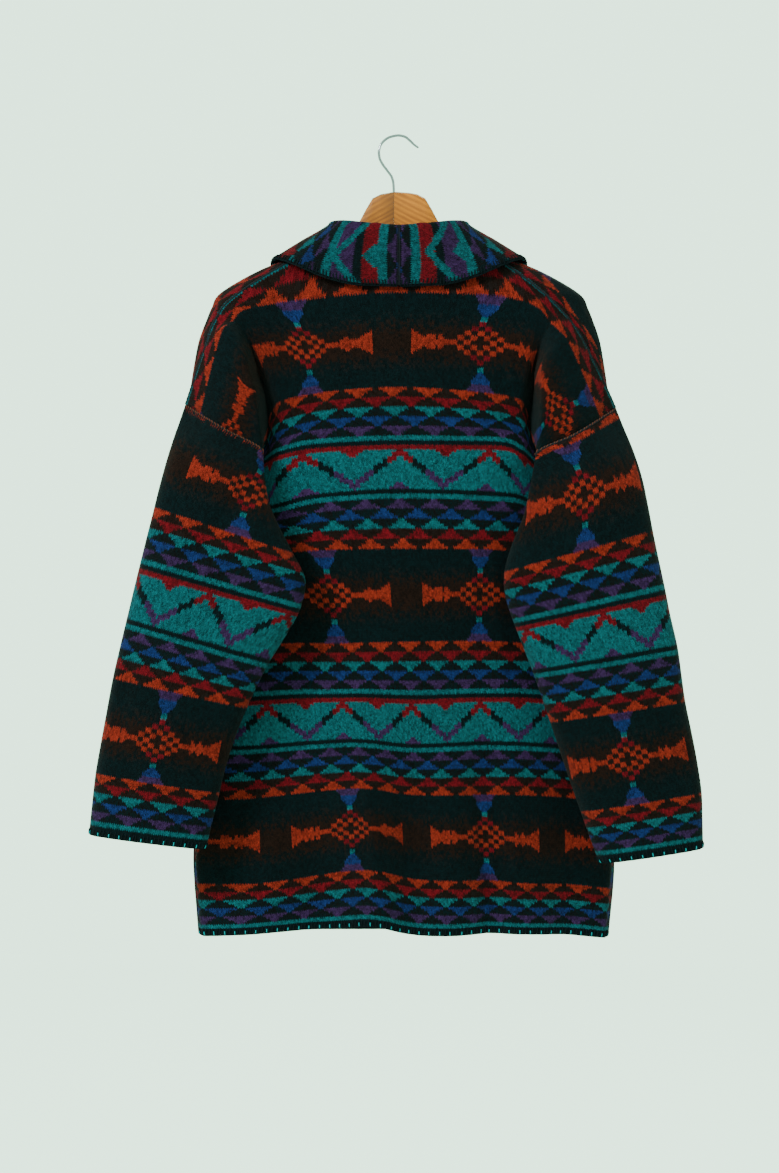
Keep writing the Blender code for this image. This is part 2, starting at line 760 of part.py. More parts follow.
def hanger_arm(side, cloth, paint):
    """Half of the hanger, from the joint at the middle to the rounded tip."""
    spans = [line[0] for line in ARM_DEPTH]
    wood_x = [line[0] for line in WOOD_TOP]
    wood_z = [line[1] for line in WOOD_TOP]
    start = WOOD_JOINT + side * JOINT_GAP / 2
    points = []
    for station in ARM_STATIONS:
        middle = through(spans, [line[1] for line in ARM_DEPTH], station)
        half = through(spans, [line[2] for line in ARM_DEPTH], station)
        x = start if station == 0 else side * station
        under = np.interp(station, *zip(*WOOD_UNDER))
        if station <= wood_x[-1]:
            top = through(wood_x, wood_z, station)
        else:
            nearby = [cloth_above(cloth, x + dx, middle + dy * half, under)
                      for dx in (-12, -6, 0, 6, 12) for dy in (-1, -0.5, 0, 0.5, 1)]
            top = min(z for z in nearby if z is not None) - ARM_REST
        shrink = ARM_TIP.get(station, 1.0)
        centre, tall = (top + under) / 2, (top - under) / 2 * shrink
        for k in range(ARM_SIDES):
            turn = 2 * math.pi * (k + 0.5) / ARM_SIDES
            cos, sin = math.cos(turn), math.sin(turn)
            y = middle + half * shrink * math.copysign(abs(cos) ** 0.6, cos)
            z = centre + tall * math.copysign(abs(sin) ** 0.6, sin)
            points.append((x * MM, y * MM, z * MM))
    faces = []
    n = ARM_SIDES
    for s in range(len(ARM_STATIONS) - 1):
        for k in range(n):
            m = (k + 1) % n
            faces.append([s * n + k, s * n + m, (s + 1) * n + m, (s + 1) * n + k])
    last = (len(ARM_STATIONS) - 1) * n
    faces.append(list(range(n - 1, -1, -1)))
    faces.append([last + k for k in range(n)])
    word = "left" if side < 0 else "right"
    arm = mesh_object(f"hanger_{word}", points, faces, paint["wood"])
    arm.data.set_sharp_from_angle(angle=math.radians(40))
    return arm


def wire_object(name, path, radius, paint):
    """A round wire along a smooth curve through the points of a path."""
    count = WIRE_POINTS
    along = np.arange(len(path))
    line = [(through(along, [p[0] for p in path], t), 0.0,
             through(along, [p[1] for p in path], t))
            for t in np.linspace(0, len(path) - 1, count)]
    curve = bpy.data.curves.new(name, "CURVE")
    curve.dimensions = "3D"
    curve.bevel_depth = radius * MM
    curve.bevel_resolution = 2
    curve.use_fill_caps = True
    spline = curve.splines.new("POLY")
    spline.points.add(count - 1)
    for point, place in zip(spline.points, line):
        point.co = (place[0] * MM, place[1] * MM, place[2] * MM, 1)
    obj = bpy.data.objects.new(name, curve)
    curve.materials.append(paint["chrome"])
    bpy.context.scene.collection.objects.link(obj)
    return obj


def stem_hole(arm):
    """Half of the hole that the hook's stem stands in."""
    cutter_mesh = bpy.data.meshes.new("stem_cutter")
    sides = 12
    radius = WIRE / 2 + WIRE_FIT
    low = WOOD_TOP[0][1] - STEM_DEPTH
    high = WOOD_TOP[0][1] + STEM_DEPTH
    points, faces = [], []
    for z in (low, high):
        for k in range(sides):
            turn = 2 * math.pi * k / sides
            points.append(((WOOD_JOINT + radius * math.cos(turn)) * MM,
                           radius * math.sin(turn) * MM, z * MM))
    for k in range(sides):
        m = (k + 1) % sides
        faces.append([k, m, sides + m, sides + k])
    faces.append(list(range(sides - 1, -1, -1)))
    faces.append([sides + k for k in range(sides)])
    cutter_mesh.from_pydata(points, [], faces)
    cutter = bpy.data.objects.new(f"{arm.name}_stem_cutter", cutter_mesh)
    bpy.context.scene.collection.objects.link(cutter)
    cutter.hide_render = True
    cutter.display_type = "WIRE"
    cut = arm.modifiers.new("stem hole", "BOOLEAN")
    cut.operation = "DIFFERENCE"
    cut.object = cutter


def main():
    for obj in list(bpy.data.objects):
        bpy.data.objects.remove(obj, do_unlink=True)
    paint = materials()
    cloth_objects = garment(paint)
    cloth = {}
    for name, obj in cloth_objects.items():
        mesh = obj.data
        cloth[name] = BVHTree.FromPolygons([v.co for v in mesh.vertices],
                                           [tuple(p.vertices) for p in mesh.polygons])
    for side in (-1, 1):
        stem_hole(hanger_arm(side, cloth, paint))
    wire_object("hook", HOOK_WIRE, WIRE / 2, paint)


main()
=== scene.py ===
import math

import bmesh
import bpy
import numpy as np
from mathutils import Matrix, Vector


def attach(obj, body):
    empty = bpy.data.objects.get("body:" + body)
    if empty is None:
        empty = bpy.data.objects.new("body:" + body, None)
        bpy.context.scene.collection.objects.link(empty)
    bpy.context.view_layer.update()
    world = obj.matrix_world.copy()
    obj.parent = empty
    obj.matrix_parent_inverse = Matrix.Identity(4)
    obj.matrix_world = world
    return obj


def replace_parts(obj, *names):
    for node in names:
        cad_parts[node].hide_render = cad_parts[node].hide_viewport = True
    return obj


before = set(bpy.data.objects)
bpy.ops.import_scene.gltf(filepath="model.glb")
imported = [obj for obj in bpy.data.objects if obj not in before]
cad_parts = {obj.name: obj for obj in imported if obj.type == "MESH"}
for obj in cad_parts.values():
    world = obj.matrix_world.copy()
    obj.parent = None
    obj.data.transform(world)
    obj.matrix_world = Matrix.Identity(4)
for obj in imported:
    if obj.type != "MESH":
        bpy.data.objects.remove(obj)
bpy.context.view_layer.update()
mm = 0.001
sides = ((-1, "left"), (1, "right"))
print("frame loaded:", len(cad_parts), "nodes")

# Across is X, height is Z down from the crown of the hook, and depth is Y.
# The garment's back faces -Y, towards the camera. Drawn sizes are in millimetres.
cloth = {
    "thickness": 3.0,
    "stitchWidth": 2.58,  # along a row of knitting
    "rowHeight": 2.75,
    "repeatRows": 107,  # of the knitted pattern
    "underarmRow": 75,
    "vEndRow": 126,
    "shoulderTurn": 1.4,  # rows of the pattern turned in at the shoulder seam
    "hemRow": 288,
    "rows": (0, 5, 10, 16, 22, 29, 36, 43, 49, 56, 62, 69, 75,
             84, 94, 105, 117, 126, 142, 156, 167, 177, 189, 201, 212,
             224, 237, 250, 263, 275, 288),
}


# Curves through drawn points

def smooth(xs, ys, x):  # never overshoots the points
    xs, ys = np.asarray(xs, float), np.asarray(ys, float)
    x = np.atleast_1d(np.asarray(x, float))
    wide = (-1,) + (1,) * (ys.ndim - 1)
    step = np.diff(xs).reshape(wide)
    rise = np.diff(ys, axis=0) / step
    slope = np.zeros_like(ys)
    slope[0], slope[-1] = rise[0], rise[-1]
    before = 2 * step[1:] + step[:-1]
    after = step[1:] + 2 * step[:-1]
    same = rise[:-1] * rise[1:] > 0
    lower = np.where(same, rise[:-1], 1.0)
    upper = np.where(same, rise[1:], 1.0)
    slope[1:-1] = np.where(same, (before + after) / (before / lower + after / upper), 0)
    return hermite(xs, ys, slope, x)


def flow(xs, ys, x):  # rounder, for filling in between close points
    xs, ys = np.asarray(xs, float), np.asarray(ys, float)
    return hermite(xs, ys, np.gradient(ys, xs, axis=0), np.asarray(x, float))


def hermite(xs, ys, slope, x):
    wide = (-1,) + (1,) * (ys.ndim - 1)
    i = np.clip(np.searchsorted(xs, x) - 1, 0, len(xs) - 2)
    step = (xs[i + 1] - xs[i]).reshape(wide)
    t = ((x - xs[i]) / (xs[i + 1] - xs[i])).clip(0, 1).reshape(wide)
    return (ys[i] * (1 + 2 * t) * (1 - t) ** 2 + step * slope[i] * t * (1 - t) ** 2
            + ys[i + 1] * t * t * (3 - 2 * t) + step * slope[i + 1] * t * t * (t - 1))


def atRow(table, row):
    table = np.array(table, float)
    return smooth(table[:, 0], table[:, 1:], row)[0]


def ramp(x, start, end):
    t = np.clip((np.asarray(x, float) - start) / (end - start), 0, 1)
    return t * t * (3 - 2 * t)


def unit(v):
    return v / np.maximum(np.linalg.norm(v, axis=-1, keepdims=True), 1e-9)


def along(line):  # distance along each line of points
    step = np.linalg.norm(np.diff(line, axis=0), axis=-1)
    return np.concatenate([[0.0], np.cumsum(step)])


# The back

backPiece = {
    "cut": (0.64, 0.79),
    "area": 0.41,
    # Each guide runs down the cloth: row, stitch from the middle, across, height, depth.
    "guides": {
        "leftEdge": (
            (0, -124, -256, -327, -20), (25, -124, -210, -356, -50), (49, -124, -164, -385, -48),
            (60, -124, -184, -402, -17), (69, -124, -203, -411, -6), (75, -124, -212, -417, 0),
            (90, -124, -216, -448, 14), (117, -124, -222, -508, 14), (177, -124, -230, -671, 14),
            (224, -124, -241, -803, 12), (250, -124, -248, -871, 12), (288, -124, -242, -966, 12),
        ),
        "leftCrest": (
            (0, -93, -229, -250, -30), (10, -86, -211, -240, -44), (29, -93, -179, -297, -52),
            (40, -108, -169, -341, -52), (49, -113, -164, -371, -32), (60, -112, -174, -387, -10),
            (75, -112, -197, -416, 2), (90, -113, -207, -445, 0), (117, -112, -217, -508, -2),
            (177, -112, -225, -673, -2), (224, -112, -234, -803, -4), (250, -112, -240, -871, -6),
            (288, -112, -235, -966, -6),
        ),
        "leftGroove": (
            (0, -86, -223, -232, -30), (10, -79, -200, -228, -36), (29, -85, -173, -279, -16),
            (40, -90, -163, -315, -8), (49, -97, -158, -348, -4), (60, -98, -160, -375, -10),
            (75, -96, -173, -408, -8), (117, -92, -184, -508, -12), (177, -92, -187, -675, -14),
            (224, -92, -178, -800, -16), (250, -92, -176, -870, -18), (288, -92, -178, -962, -18),
        ),
        "leftLip": (
            (0, -73, -206, -205, -28), (10, -71, -188, -214, -30), (29, -76, -165, -261, -24),
            (40, -74, -153, -293, -22), (49, -71, -147, -325, -21), (60, -68, -146, -357, -20),
            (75, -60, -148, -394, -20), (94, -58, -149, -448, -20), (117, -60, -137, -504, -20),
            (177, -62, -118, -671, -22), (224, -64, -116, -793, -22), (250, -64, -112, -862, -22),
            (288, -64, -115, -957, -22),
        ),
        "leftMiddle": (
            (0, -34, -77, -134, -8), (10, -42, -110, -199, -22), (29, -42, -97, -256, -24),
            (49, -42, -90, -311, -24), (75, -42, -98, -384, -25), (94, -42, -98, -436, -25),
            (117, -42, -90, -501, -26), (156, -42, -79, -613, -27), (177, -42, -73, -671, -27),
            (201, -42, -70, -731, -27), (224, -42, -65, -789, -27), (263, -42, -59, -888, -27),
            (288, -42, -59, -955, -27),
        ),
        "centre": (
            (0, -6, 0, -152, -15), (10, -6, 0, -191, -24), (29, -6, 0, -250, -25),
            (49, -6, 0, -305, -26), (75, -6, 6, -380, -27), (94, -5, 2, -430, -28),
            (117, -3, 5, -499, -28), (156, 0, 12, -611, -28), (177, 0, 14, -672, -28),
            (201, 0, 17, -736, -28), (224, 0, 19, -795, -28), (263, 0, 23, -897, -28),
            (288, 0, 24, -963, -28),
        ),
        "rightMiddle": (
            (0, 22, 77, -134, -8), (10, 34, 120, -195, -22), (29, 38, 116, -253, -24),
            (49, 38, 115, -313, -24), (75, 38, 122, -381, -25), (94, 38, 113, -433, -25),
            (117, 39, 102, -500, -26), (156, 40, 96, -610, -27), (177, 40, 97, -670, -27),
            (201, 40, 100, -733, -27), (224, 40, 102, -795, -27), (263, 40, 106, -898, -27),
            (288, 40, 106, -961, -27),
        ),
        "rightLip": (
            (0, 58, 169, -189, -26), (10, 55, 170, -212, -28), (29, 54, 157, -266, -24),
            (40, 55, 153, -298, -22), (49, 56, 148, -322, -21), (60, 55, 149, -353, -20),
            (75, 53, 151, -393, -20), (94, 52, 146, -437, -20), (117, 58, 140, -502, -20),
            (177, 60, 143, -670, -22), (224, 60, 145, -795, -22), (250, 60, 147, -868, -22),
            (288, 60, 146, -961, -22),
        ),
        "rightGroove": (
            (0, 70, 188, -207, -30), (10, 64, 182, -228, -32), (29, 72, 165, -283, -16),
            (40, 84, 163, -321, -8), (49, 90, 158, -350, -4), (60, 92, 163, -377, -10),
            (75, 92, 178, -416, -8), (117, 90, 191, -506, -12), (177, 90, 198, -674, -14),
            (224, 90, 202, -799, -16), (250, 90, 203, -871, -18), (288, 90, 200, -963, -18),
        ),
        "rightCrest": (
            (0, 86, 215, -241, -30), (10, 79, 201, -251, -44), (29, 92, 172, -301, -54),
            (40, 107, 171, -347, -53), (49, 113, 165, -374, -32), (60, 112, 177, -391, -10),
            (75, 112, 204, -425, 2), (90, 113, 214, -453, 0), (117, 112, 221, -512, -2),
            (177, 112, 229, -674, -2), (224, 112, 244, -804, -4), (250, 112, 252, -877, -6),
            (288, 112, 246, -968, -6),
        ),
        "rightEdge": (
            (0, 124, 260, -331, -20), (25, 124, 212, -362, -52), (49, 124, 165, -388, -48),
            (60, 124, 188, -406, -17), (69, 124, 210, -420, -6), (75, 124, 220, -427, 0),
            (90, 124, 223, -456, 14), (117, 124, 227, -513, 14), (177, 124, 235, -674, 14),
            (224, 124, 251, -805, 12), (250, 124, 260, -879, 12), (288, 124, 253, -969, 12),
        ),
    },
    "panels": (2, 2, 2, 3, 4, 4, 3, 2, 2, 2),  # columns between two guides
    # Soft upright folds: stitch, half width, out towards the viewer, lift, first row.
    "folds": (
        (-88, 15, 6, 0, 200), (-60, 14, -5, 0, 140), (-26, 15, 14, 7, 140), (-6, 8, -7, 0, 180),
        (20, 13, 8, 0, 150), (42, 9, -11, 0, 110), (66, 14, 9, 0, 150), (90, 10, -5, 0, 170),
    ),
    "patternShift": (9, 50, 156),  # stitches above the first row, gone by the second
    # Creases: from and to (stitch, row), half width in mm, height in mm, down if negative.
    "creases": (
        ((-74, 46), (-30, 70), 9, -2.2), ((-70, 60), (-24, 92), 11, 1.8),
        ((72, 50), (30, 74), 9, -2.0), ((66, 66), (26, 98), 11, 1.6),
        ((-66, 100), (-34, 88), 8, -1.8), ((60, 108), (28, 96), 8, -1.6),
        ((-46, 128), (-38, 178), 10, 1.5), ((10, 120), (16, 165), 13, -1.2),
        ((48, 118), (52, 170), 10, 1.6), ((-20, 24), (26, 30), 14, 1.0),
        ((-92, 16), (-70, 44), 9, -1.6), ((84, 18), (64, 46), 9, -1.5),
        ((-30, 205), (-24, 288), 9, 2.0), ((-10, 215), (-6, 288), 6, -1.6),
        ((34, 190), (40, 288), 6, -2.0), ((76, 205), (80, 288), 8, -1.4),
        ((-72, 196), (-76, 284), 9, -1.5),
    ),
}
neckColumn = sum(backPiece["panels"][:4])
middleColumn = sum(backPiece["panels"][:5])


def backPoints():
    places = [0]
    for k, parts in enumerate(backPiece["panels"]):
        places += [k + (i + 1) / parts for i in range(parts)]
    guides = list(backPiece["guides"].values())
    grid = []
    for row in cloth["rows"]:
        stations = np.array([atRow(table, row) for table in guides])
        stitch, x, z, y = smooth(range(len(guides)), stations, places).T
        for middle, half, out, lift, first in backPiece["folds"]:
            bump = np.exp(-((stitch - middle) / half) ** 2) * ramp(row, first, cloth["hemRow"])
            y = y - out * bump
            z = z + lift * bump
        grid.append(np.stack([x, y, z, stitch, np.full_like(x, row)], axis=1))
    return np.array(grid)


# A front

frontPiece = {
    "cut": (0.31, 0.79),
    "area": 0.202,
    # Drawn for the left front: row, across, height, depth.
    "guides": {
        "armhole": (
            (5, -255, -333, -11), (14, -250, -341, 2), (29, -241, -360, 14), (49, -229, -390, 22),
            (62, -224, -406, 15), (69, -219, -413, 8), (75, -212, -417, 0),
        ),
        "byArm": (
            (5, -241, -254, -13), (14, -241, -266, 6), (29, -235, -303, 21), (49, -222, -350, 30),
            (62, -213, -376, 31), (75, -205, -399, 27), (90, -207, -432, 29),
            (117, -214, -502, 31), (177, -222, -665, 31), (224, -233, -800, 30),
            (250, -240, -872, 30), (288, -235, -966, 30),
        ),
        "shoulder": (
            (5, -231, -224, -12), (14, -228, -234, 9), (29, -218, -273, 28), (49, -203, -324, 37),
            (75, -188, -386, 41), (117, -183, -499, 42), (177, -186, -664, 42),
            (224, -190, -800, 42), (288, -190, -965, 40),
        ),
        "chest": (
            (5, -214, -191, -10), (14, -208, -200, 12), (29, -192, -240, 33), (49, -174, -298, 42),
            (75, -158, -368, 46), (117, -146, -494, 47), (177, -144, -664, 47),
            (224, -144, -800, 46), (288, -142, -965, 44),
        ),
        "breast": (
            (5, -168, -164, -8), (14, -164, -172, 14), (29, -152, -212, 36), (49, -136, -272, 45),
            (75, -120, -345, 49), (117, -100, -478, 51), (177, -96, -664, 50),
            (224, -96, -800, 49), (288, -95, -965, 47),
        ),
        "inner": (
            (5, -78, -130, 2), (14, -76, -146, 18), (29, -67, -190, 34), (49, -54, -250, 44),
            (75, -38, -325, 50), (105, -17, -412, 53), (126, -3, -470, 54), (142, 0, -520, 53),
            (177, 0, -664, 51), (224, 0, -800, 50), (288, 0, -965, 48),
        ),
    },
    "columns": (0, 2, 4, 6, 7, 9),  # of the cloth at each guide
    "rightShift": (-8, -10),  # the right underarm hangs wider and lower
    "creases": (
        ((-150, 60), (-176, 110), 12, 1.8), ((-140, 90), (-160, 180), 12, -1.6),
        ((-180, 120), (-176, 280), 14, 1.8), ((-205, 170), (-200, 288), 12, -1.8),
        ((-150, 200), (-152, 288), 12, 1.6), ((-136, 24), (-150, 60), 9, -1.4),
    ),
}
armholeRows = cloth["rows"].index(cloth["underarmRow"]) + 1
vNeckRows = cloth["rows"].index(cloth["vEndRow"]) + 1


def frontPoints(back, side):
    edge = 0 if side < 0 else back.shape[1] - 1
    spots = frontPiece["columns"]
    grid = np.zeros((len(cloth["rows"]), neckColumn + 1, 5))
    for r, row in enumerate(cloth["rows"]):
        stations = []
        for spot, table in zip(spots, frontPiece["guides"].values()):
            if spot == 0 and row >= cloth["underarmRow"]:
                stations.append(back[r, edge, :3] * (-side, 1, 1))
                continue
            x, z, y = atRow(table, row)
            if side > 0:
                reach = ramp(row, 0, cloth["underarmRow"]) * (1 - spot / spots[-1])
                x += frontPiece["rightShift"][0] * reach
                z += frontPiece["rightShift"][1] * reach * (1 - ramp(row, 90, 200))
            stations.append((x, y, z))
        line = smooth(spots, np.array(stations), range(neckColumn + 1)) * (-side, 1, 1)
        if row >= cloth["underarmRow"]:
            line[0] = back[r, edge, :3]
        if r == 0:
            line = np.array([back[0, edge - side * c, :3] for c in range(neckColumn + 1)])
        grid[r, :, :3] = line
        grid[r, :, 3] = side * (124 + along(line) / cloth["stitchWidth"])
        grid[r, :, 4] = row
    return grid


# A sleeve

sleevePiece = {
    "cut": (0.44, 0.50),
    "area": 0.18,
    # Row, outer edge across and height, inner edge across and height, depth, half depth.
    "left": (
        (7, -256, -327, -164, -385, -34, 20), (29, -274, -392, -157, -441, -56, 24),
        (49, -289, -451, -128, -505, -62, 26), (60, -298, -484, -113, -538, -64, 27),
        (70, -305, -514, -118, -568, -64, 27), (82, -314, -550, -132, -596, -64, 27),
        (94, -322, -585, -155, -633, -64, 26), (117, -338, -653, -182, -688, -62, 26),
        (136, -350, -717, -203, -743, -61, 25), (156, -359, -766, -215, -789, -60, 24),
        (182, -367, -838, -231, -855, -58, 23),
    ),
    "right": (
        (7, 260, -331, 165, -388, -34, 20), (29, 287, -413, 150, -458, -56, 24),
        (49, 300, -479, 127, -527, -62, 26), (60, 307, -513, 128, -557, -64, 27),
        (70, 314, -545, 137, -585, -64, 27), (82, 321, -580, 148, -614, -64, 27),
        (94, 329, -616, 160, -645, -64, 26), (117, 338, -681, 181, -705, -62, 26),
        (136, 349, -735, 199, -759, -61, 25), (156, 358, -789, 217, -811, -60, 24),
        (182, 360, -854, 239, -872, -58, 23),
    ),
    "rows": (7, 13, 20, 29, 39, 49, 60, 70, 82, 94, 106, 117, 130, 143, 156, 169, 182),
    # Row, and the stitch at the outer and at the inner edge from the lozenges' axis.
    "stitchesLeft": ((7, -47, -5), (29, -47, 11), (80, -41, 46), (136, -33, 38), (182, -30, 32)),
    "stitchesRight": ((7, 30, -13), (29, 35, -34), (80, 39, -46), (136, 40, -34), (182, 36, -26)),
    "leftStart": 10.4,
    "fadeRow": 44,
    "depthFadeRow": 26,
    "slack": (8.0, 5.0, -3.0),
    "slackColumns": 1.8,
    "slackRings": ((1, 1.0), (2, 0.7), (3, 0.3)),
    "innerRow": 49,
    "innerTurn": 0.97,  # share of half a turn at the inner edge
    "underarmTurn": 1.22,
    "creasesLeft": (
        ((44, 16), (22, 64), 9, -2.4), ((52, 40), (24, 78), 9, 2.0),
        ((74, 66), (34, 84), 10, -2.2), ((80, 78), (44, 104), 10, 2.0),
        ((20, 44), (6, 96), 11, 1.8), ((14, 100), (22, 150), 10, -1.6),
        ((60, 104), (38, 150), 10, 1.5), ((30, 140), (26, 182), 12, -1.4),
        # on the front of the sleeve
        ((-24, 18), (-4, 66), 9, -2.2), ((-38, 46), (-8, 84), 9, 1.9),
        ((-56, 72), (-18, 90), 10, -2.0), ((-44, 104), (-22, 150), 10, 1.4),
        ((-10, 108), (-6, 152), 10, -1.5), ((-26, 142), (-16, 182), 12, -1.2),
    ),
    "creasesRight": (
        ((28, 20), (56, 66), 9, -2.4), ((14, 44), (48, 82), 9, 2.0), ((2, 68), (40, 90), 10, -2.2),
        ((0, 84), (34, 112), 10, 1.8), ((66, 48), (72, 100), 11, 1.8),
        ((64, 104), (56, 150), 10, -1.6), ((20, 110), (38, 152), 10, 1.5),
        ((50, 140), (54, 182), 12, -1.4), ((112, 20), (88, 66), 9, -2.2),
        ((126, 46), (96, 84), 9, 1.9), ((140, 70), (104, 94), 10, -2.0),
        ((124, 108), (106, 150), 10, 1.4), ((92, 106), (84, 152), 10, -1.5),
        ((104, 140), (92, 182), 12, -1.2),
    ),
}


def sleevePoints(back, front, side):
    table = sleevePiece["left"] if side < 0 else sleevePiece["right"]
    edge = 0 if side < 0 else back.shape[1] - 1
    seam = [back[r, edge, :3] for r in range(armholeRows)]
    seam += [front[r, 0, :3] for r in range(armholeRows - 2, 0, -1)]
    inner = cloth["rows"].index(sleevePiece["innerRow"])
    rest = armholeRows - 1
    innerTurn, underTurn = sleevePiece["innerTurn"], sleevePiece["underarmTurn"]
    turns = [innerTurn * r / inner for r in range(inner + 1)]
    turns += [innerTurn + (underTurn - innerTurn) * (k + 1) / (rest - inner)
              for k in range(rest - inner)]
    turns += [underTurn + (2 - underTurn) * (k + 1) / rest for k in range(rest - 1)]
    turns = np.array(turns)

    def section(row):
        ox, oz, ix, iz, middle, half = atRow(table, row)
        swing = np.cos(np.pi * turns)
        bulge = np.sin(np.pi * turns)
        bulge = np.copysign(np.abs(bulge) ** 0.75, bulge)
        x = (ox + ix) / 2 + swing * (ox - ix) / 2
        z = (oz + iz) / 2 + swing * (oz - iz) / 2
        return np.stack([x, middle - bulge * half, z], axis=1)

    rows = sleevePiece["rows"]
    spare = np.array(seam) - section(rows[0])
    stitches = np.array(sleevePiece["stitchesLeft" if side < 0 else "stitchesRight"], float)
    grid = []
    for r, row in enumerate(rows):
        fade = 1 - ramp(row, rows[0], sleevePiece["fadeRow"])
        fadeDepth = 1 - ramp(row, rows[0], sleevePiece["depthFadeRow"])
        ring = section(row) + spare * (fade, fadeDepth, fade)
        share = dict(sleevePiece["slackRings"]).get(r, 0)
        pull = np.exp(-((np.arange(len(turns)) - armholeRows) / sleevePiece["slackColumns"]) ** 2)
        ring += share * pull[:, None] * np.array(sleevePiece["slack"]) * (side, 1, 1)
        # Start at the underarm seam, go round by the outer edge and end there again.
        order = [(armholeRows - 1 + k) % len(turns) for k in range(len(turns) + 1)]
        line = ring[order]
        far = along(line)
        first, second = order.index(0), order.index(inner)
        outerStitch, innerStitch = smooth(stitches[:, 0], stitches[:, 1:], row)[0]
        share = (far - far[first]) / (far[second] - far[first])
        u = 40 + outerStitch + (innerStitch - outerStitch) * share
        grid.append(np.concatenate([line, u[:, None], np.full((len(line), 1), row)], axis=1))
    return np.array(grid)


# Half of the shawl collar

collarPiece = {
    "cut": (0.49, 0.12),
    "area": 0.050,
    # Station along the seam, then the fold line and the outer edge, for the left half.
    "path": (
        (0, (0, -112, -27), (0, -184, -31)), (2, (-44, -108, -25), (-58, -181, -31)),
        (3, (-63, -105, -17), (-92, -172, -30)), (4, (-79, -104, -5), (-124, -158, -28)),
        (5, (-83, -107, 8), (-149, -149, -12)), (6, (-83, -115, 20), (-155, -157, 12)),
        (8, (-78, -143, 38), (-153, -188, 38)), (10, (-71, -184, 50), (-144, -232, 52)),
        (12, (-63, -225, 57), (-132, -278, 60)), (15, (-47, -294, 62), (-108, -352, 64)),
        (18, (-27, -376, 65), (-70, -420, 66)), (21, (-9, -458, 64), (-18, -476, 65)),
    ),
    "roll": 4.2,
    "flatter": 0.45,
    "swell": 3.0,
    "squaring": 0.6,
    "fallSteps": 4,
    "firstRow": 64.2,  # of the pattern, at the centre back seam
    "rowHeight": 2.5,
    "leftStitch": -12,  # of the pattern, at the seam with the neck
    "rightStitch": -30,
    "creases": (
        ((-2, 74), (14, 79), 5, -0.8), ((4, 92), (28, 97), 6, 0.9),
        ((-4, 110), (22, 118), 7, -0.9),
    ),
}


def collarPoints(back, front, side):
    first = collarPiece["leftStitch" if side < 0 else "rightStitch"]
    columns = range(middleColumn, neckColumn - 1, -1)
    if side > 0:
        columns = [2 * middleColumn - c for c in columns]
    seam = [back[0, c, :3] for c in columns]
    seam += [front[r, -1, :3] for r in range(1, vNeckRows)]
    path = collarPiece["path"]
    stations = [line[0] for line in path]
    last = stations[-1]
    folds = smooth(stations, [line[1] for line in path], range(len(seam)))[:, (0, 2, 1)]
    edges = smooth(stations, [line[2] for line in path], range(len(seam)))[:, (0, 2, 1)]
    if side > 0:
        folds, edges = folds * (-1, 1, 1), edges * (-1, 1, 1)
    down = np.array((0, 0, 1.0))
    rowsAlong = collarPiece["firstRow"] + along(edges * 0.5 + folds * 0.5) / collarPiece["rowHeight"]
    grid = []
    for j, start in enumerate(seam):
        fold, edge = folds[j], edges[j]
        out = unit((edge - fold) * (1, 1, 0))
        roll = collarPiece["roll"] * (1 - collarPiece["flatter"] * ramp(j, 14, last))
        sideIn = fold - roll * out - roll * down
        sideOut = fold + roll * out - roll * down
        ahead = unit(seam[min(j + 1, len(seam) - 1)] - seam[max(j - 1, 0)])
        rise = (sideIn - start) / 2
        rise = rise - collarPiece["squaring"] * ramp(j, 0, 3) * ahead * (rise @ ahead)
        line = [start, start + rise, sideIn, fold, sideOut]
        for k in range(1, collarPiece["fallSteps"] + 1):
            share = k / collarPiece["fallSteps"]
            swell = collarPiece["swell"] * math.sin(math.pi * share) * (1 - ramp(j, 12, last))
            line.append(sideOut + (edge - sideOut) * share + out * swell)
        line = np.array(line)
        u = first + along(line) / cloth["stitchWidth"]
        v = np.full(len(line), rowsAlong[j])
        grid.append(np.column_stack([line, u, v]))
    return np.array(grid)


def onGarment(name, data):  # an object from its finished mesh or curve
    piece = bpy.data.objects.new(name, data)
    bpy.context.scene.collection.objects.link(piece)
    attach(piece, "root")
    return piece


# Cloth from points: a fine grid whose own coordinates are those of the knitting

def refine(grid, rowsAt, fineRows, fineColumns, closed=False):
    grid = flow(rowsAt, grid, fineRows)
    columns = np.arange(grid.shape[1], dtype=float)
    if closed:  # two columns more on each side, so the seam is no corner
        width = grid[:, -1:, 3:4] - grid[:, :1, 3:4]
        turn = np.concatenate([np.zeros_like(grid[:, :1, :3]), width, width * 0], axis=2)
        grid = np.concatenate([grid[:, -3:-1] - turn, grid, grid[:, 1:3] + turn], axis=1)
        columns = np.arange(-2, grid.shape[1] - 2, dtype=float)
    return flow(columns, grid.transpose(1, 0, 2), fineColumns).transpose(1, 0, 2)


def normalsOf(points):
    down = np.gradient(points, axis=0)
    across = np.gradient(points, axis=1)
    return unit(np.cross(down, across))


def crease(grid, normals, creases):
    points, u, v = grid[..., :3].copy(), grid[..., 3], grid[..., 4]
    for start, end, half, height in creases:
        a, b = np.array(start, float), np.array(end, float)
        size = np.array((cloth["stitchWidth"], cloth["rowHeight"]))
        way = (b - a) * size
        length = np.linalg.norm(way)
        place = np.stack([u - a[0], v - a[1]], axis=-1) * size
        t = place @ (way / length) / length
        aside = place @ (np.array((-way[1], way[0])) / length)
        ends = ramp(t, -0.15, 0.3) * (1 - ramp(t, 0.6, 1.15))
        across = aside / half
        shape = np.exp(-across ** 2) - 0.25 * np.exp(-(np.abs(across) - 2) ** 2)
        points += (height * ends * shape)[..., None] * normals
    return points


